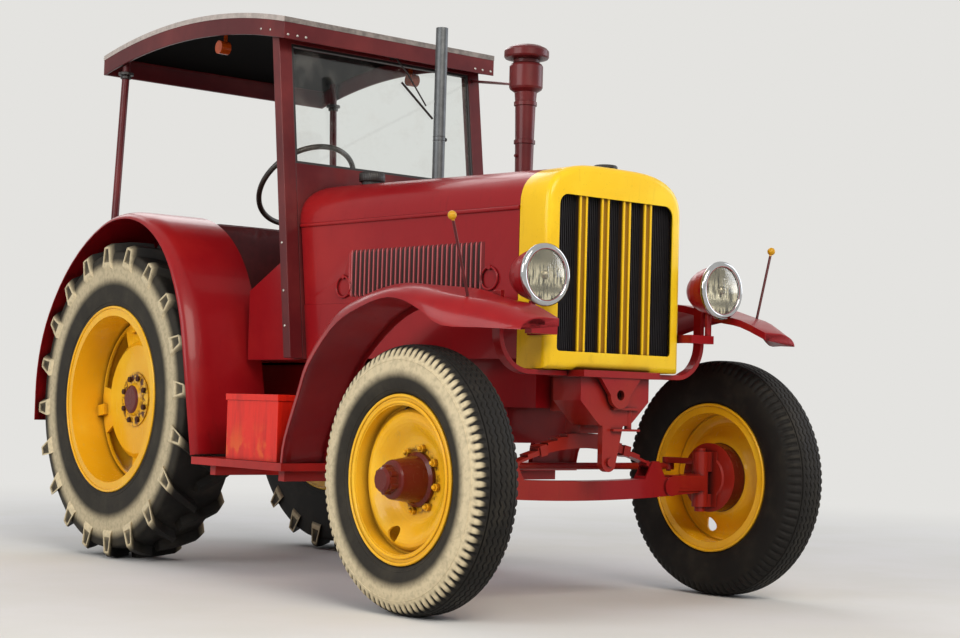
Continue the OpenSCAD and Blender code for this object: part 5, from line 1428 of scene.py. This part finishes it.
# Soft boxes: name, place, width and height, watts and colour
LAMPS = (
    ("key", (-2.5, -8.5, 6.5), (6.0, 4.0), 620, "#fff6ea"),
    ("near_side", (-8.5, -1.0, 4.0), (6.0, 4.0), 330, "#ffffff"),
    ("far_side", (8.0, -3.5, 3.5), (5.0, 4.0), 200, "#eef3ff"),
    ("rear", (2.0, 8.0, 7.5), (8.0, 5.0), 360, "#ffffff"),
)
AIM = Vector((0.0, -0.2, 1.0))


def camera_matrix():
    """Yaw turns the view from +Y towards +X, pitch lifts it, and roll turns it about itself."""
    yaw, pitch, roll = (math.radians(a) for a in (CAMERA_YAW, CAMERA_PITCH, CAMERA_ROLL))
    ahead = Vector((math.sin(yaw) * math.cos(pitch), math.cos(yaw) * math.cos(pitch), math.sin(pitch)))
    right = Vector((math.cos(yaw), -math.sin(yaw), 0.0))
    up = right.cross(ahead)
    rolled_right = math.cos(roll) * right + math.sin(roll) * up
    rolled_up = -math.sin(roll) * right + math.cos(roll) * up
    axes = Matrix((rolled_right, rolled_up, -ahead)).transposed()
    return Matrix.Translation(CAMERA_PLACE) @ axes.to_4x4()


def add_lamp(name, place, size, power, colour):
    """A soft box that faces the tractor."""
    data = bpy.data.lights.new(name, "AREA")
    data.shape = "RECTANGLE"
    data.size, data.size_y = size
    data.energy = power
    data.color = linear(colour)[:3]
    lamp = bpy.data.objects.new(name, data)
    lamp.location = place
    lamp.rotation_euler = (AIM - Vector(place)).to_track_quat("-Z", "Y").to_euler()
    bpy.context.scene.collection.objects.link(lamp)


def seen_by_eye(add):
    """1 for rays from the camera, from a mirror or through glass."""
    seen = add("LightPath", output="Is Camera Ray")
    for name in ("Is Glossy Ray", "Is Transmission Ray"):
        ray = add("LightPath", output=name)
        seen = add("Math", LARGER, {0: seen, 1: ray})
    return seen


def floor_finish(colours):
    """Pale painted floor that takes the shadow and fades into the background farther away."""
    material, add, at = start_material("painted_floor")
    patches = blotches(add, at, 900, 0.3, 0.7)
    tone = add("Mix", COLOUR, {0: patches, 6: colours.floor, 7: colours.worn_floor}, 2)
    ground = add("BsdfDiffuse", links={"Color": tone})
    glow = add("Emission", links={"Color": linear(BACKGROUND)})
    far = add("VectorMath", {"operation": "LENGTH"}, {0: at}, "Value")
    fade = add("MapRange", SMOOTH, {"Value": far, "From Min": FLOOR_FADE[0], "From Max": FLOOR_FADE[1]})
    share = add("Math", MULTIPLY, {0: fade, 1: seen_by_eye(add)})
    end_material(add, {0: share, 1: ground, 2: glow}, "MixShader")
    return material


class TRACTOR_OT_stage(Operator):
    """Adds the floor, the lamps, the background and the camera"""
    bl_idname = "tractor.stage"
    bl_label = "Stage"

    def execute(self, context):
        scene = context.scene
        data = bpy.data.cameras.new("camera")
        data.lens = CAMERA_LENS
        data.sensor_width = SENSOR_WIDTH
        data.sensor_fit = "HORIZONTAL"
        camera = bpy.data.objects.new("camera", data)
        camera.matrix_world = camera_matrix()
        scene.collection.objects.link(camera)
        scene.camera = camera
        mesh = bpy.data.meshes.new("floor")
        corners = ((-1, -1), (1, -1), (1, 1), (-1, 1))
        mesh.from_pydata([(x * FLOOR_HALF, y * FLOOR_HALF, 0) for x, y in corners], [], [(0, 1, 2, 3)])
        floor = bpy.data.objects.new("floor", mesh)
        mesh.materials.append(floor_finish(scene.tractor_colours))
        scene.collection.objects.link(floor)
        for lamp in LAMPS:
            add_lamp(*lamp)
        world = bpy.data.worlds.new("studio")
        world.use_nodes = True
        world.node_tree.nodes.clear()
        add = partial(add_node, world.node_tree)
        light = add("Background", links={"Color": linear("#f2f4f7"), "Strength": WORLD_STRENGTH})
        pale = add("Background", links={"Color": linear(BACKGROUND), "Strength": 1.0})
        both = add("MixShader", links={0: seen_by_eye(add), 1: light, 2: pale})
        add("OutputWorld", links={"Surface": both})
        scene.world = world
        scene.view_settings.view_transform = "Standard"
        return {"FINISHED"}


class TRACTOR_PT_pieces(Panel):
    """Lists the tractor's pieces"""
    bl_idname = "TRACTOR_PT_pieces"
    bl_label = "Tractor"
    bl_space_type = "VIEW_3D"
    bl_region_type = "UI"
    bl_category = "Tractor"

    def draw(self, context):
        for kind in PIECES:
            self.layout.operator(kind.bl_idname)
        for group in (context.scene.tractor_sizes, context.scene.tractor_colours):
            for name in group.bl_rna.properties.keys():
                if name not in ("rna_type", "name"):
                    self.layout.prop(group, name)


PIECES = (
    TRACTOR_OT_stage, TRACTOR_OT_finishes, TRACTOR_OT_soft_edges, TRACTOR_OT_front_tyres,
    TRACTOR_OT_rear_tyres, TRACTOR_OT_wheel_nuts, TRACTOR_OT_fittings, TRACTOR_OT_radiator,
    TRACTOR_OT_headlamps, TRACTOR_OT_windscreen, TRACTOR_OT_roof_trim, TRACTOR_OT_cushions,
)
CLASSES = (TractorColours, TractorSizes) + PIECES + (TRACTOR_PT_pieces,)


def register():
    """Registers the classes, and gives the scene its sizes and colours."""
    for kind in CLASSES:
        bpy.utils.register_class(kind)
    bpy.types.Scene.tractor_colours = PointerProperty(type=TractorColours)
    bpy.types.Scene.tractor_sizes = PointerProperty(type=TractorSizes)


def unregister():
    """Takes away what register gave."""
    del bpy.types.Scene.tractor_sizes
    del bpy.types.Scene.tractor_colours
    for kind in reversed(CLASSES):
        bpy.utils.unregister_class(kind)


def main():
    """Makes every piece in order."""
    register()
    for kind in PIECES:
        getattr(bpy.ops.tractor, kind.bl_idname.split(".")[1])()


if __name__ == "__main__":
    main()
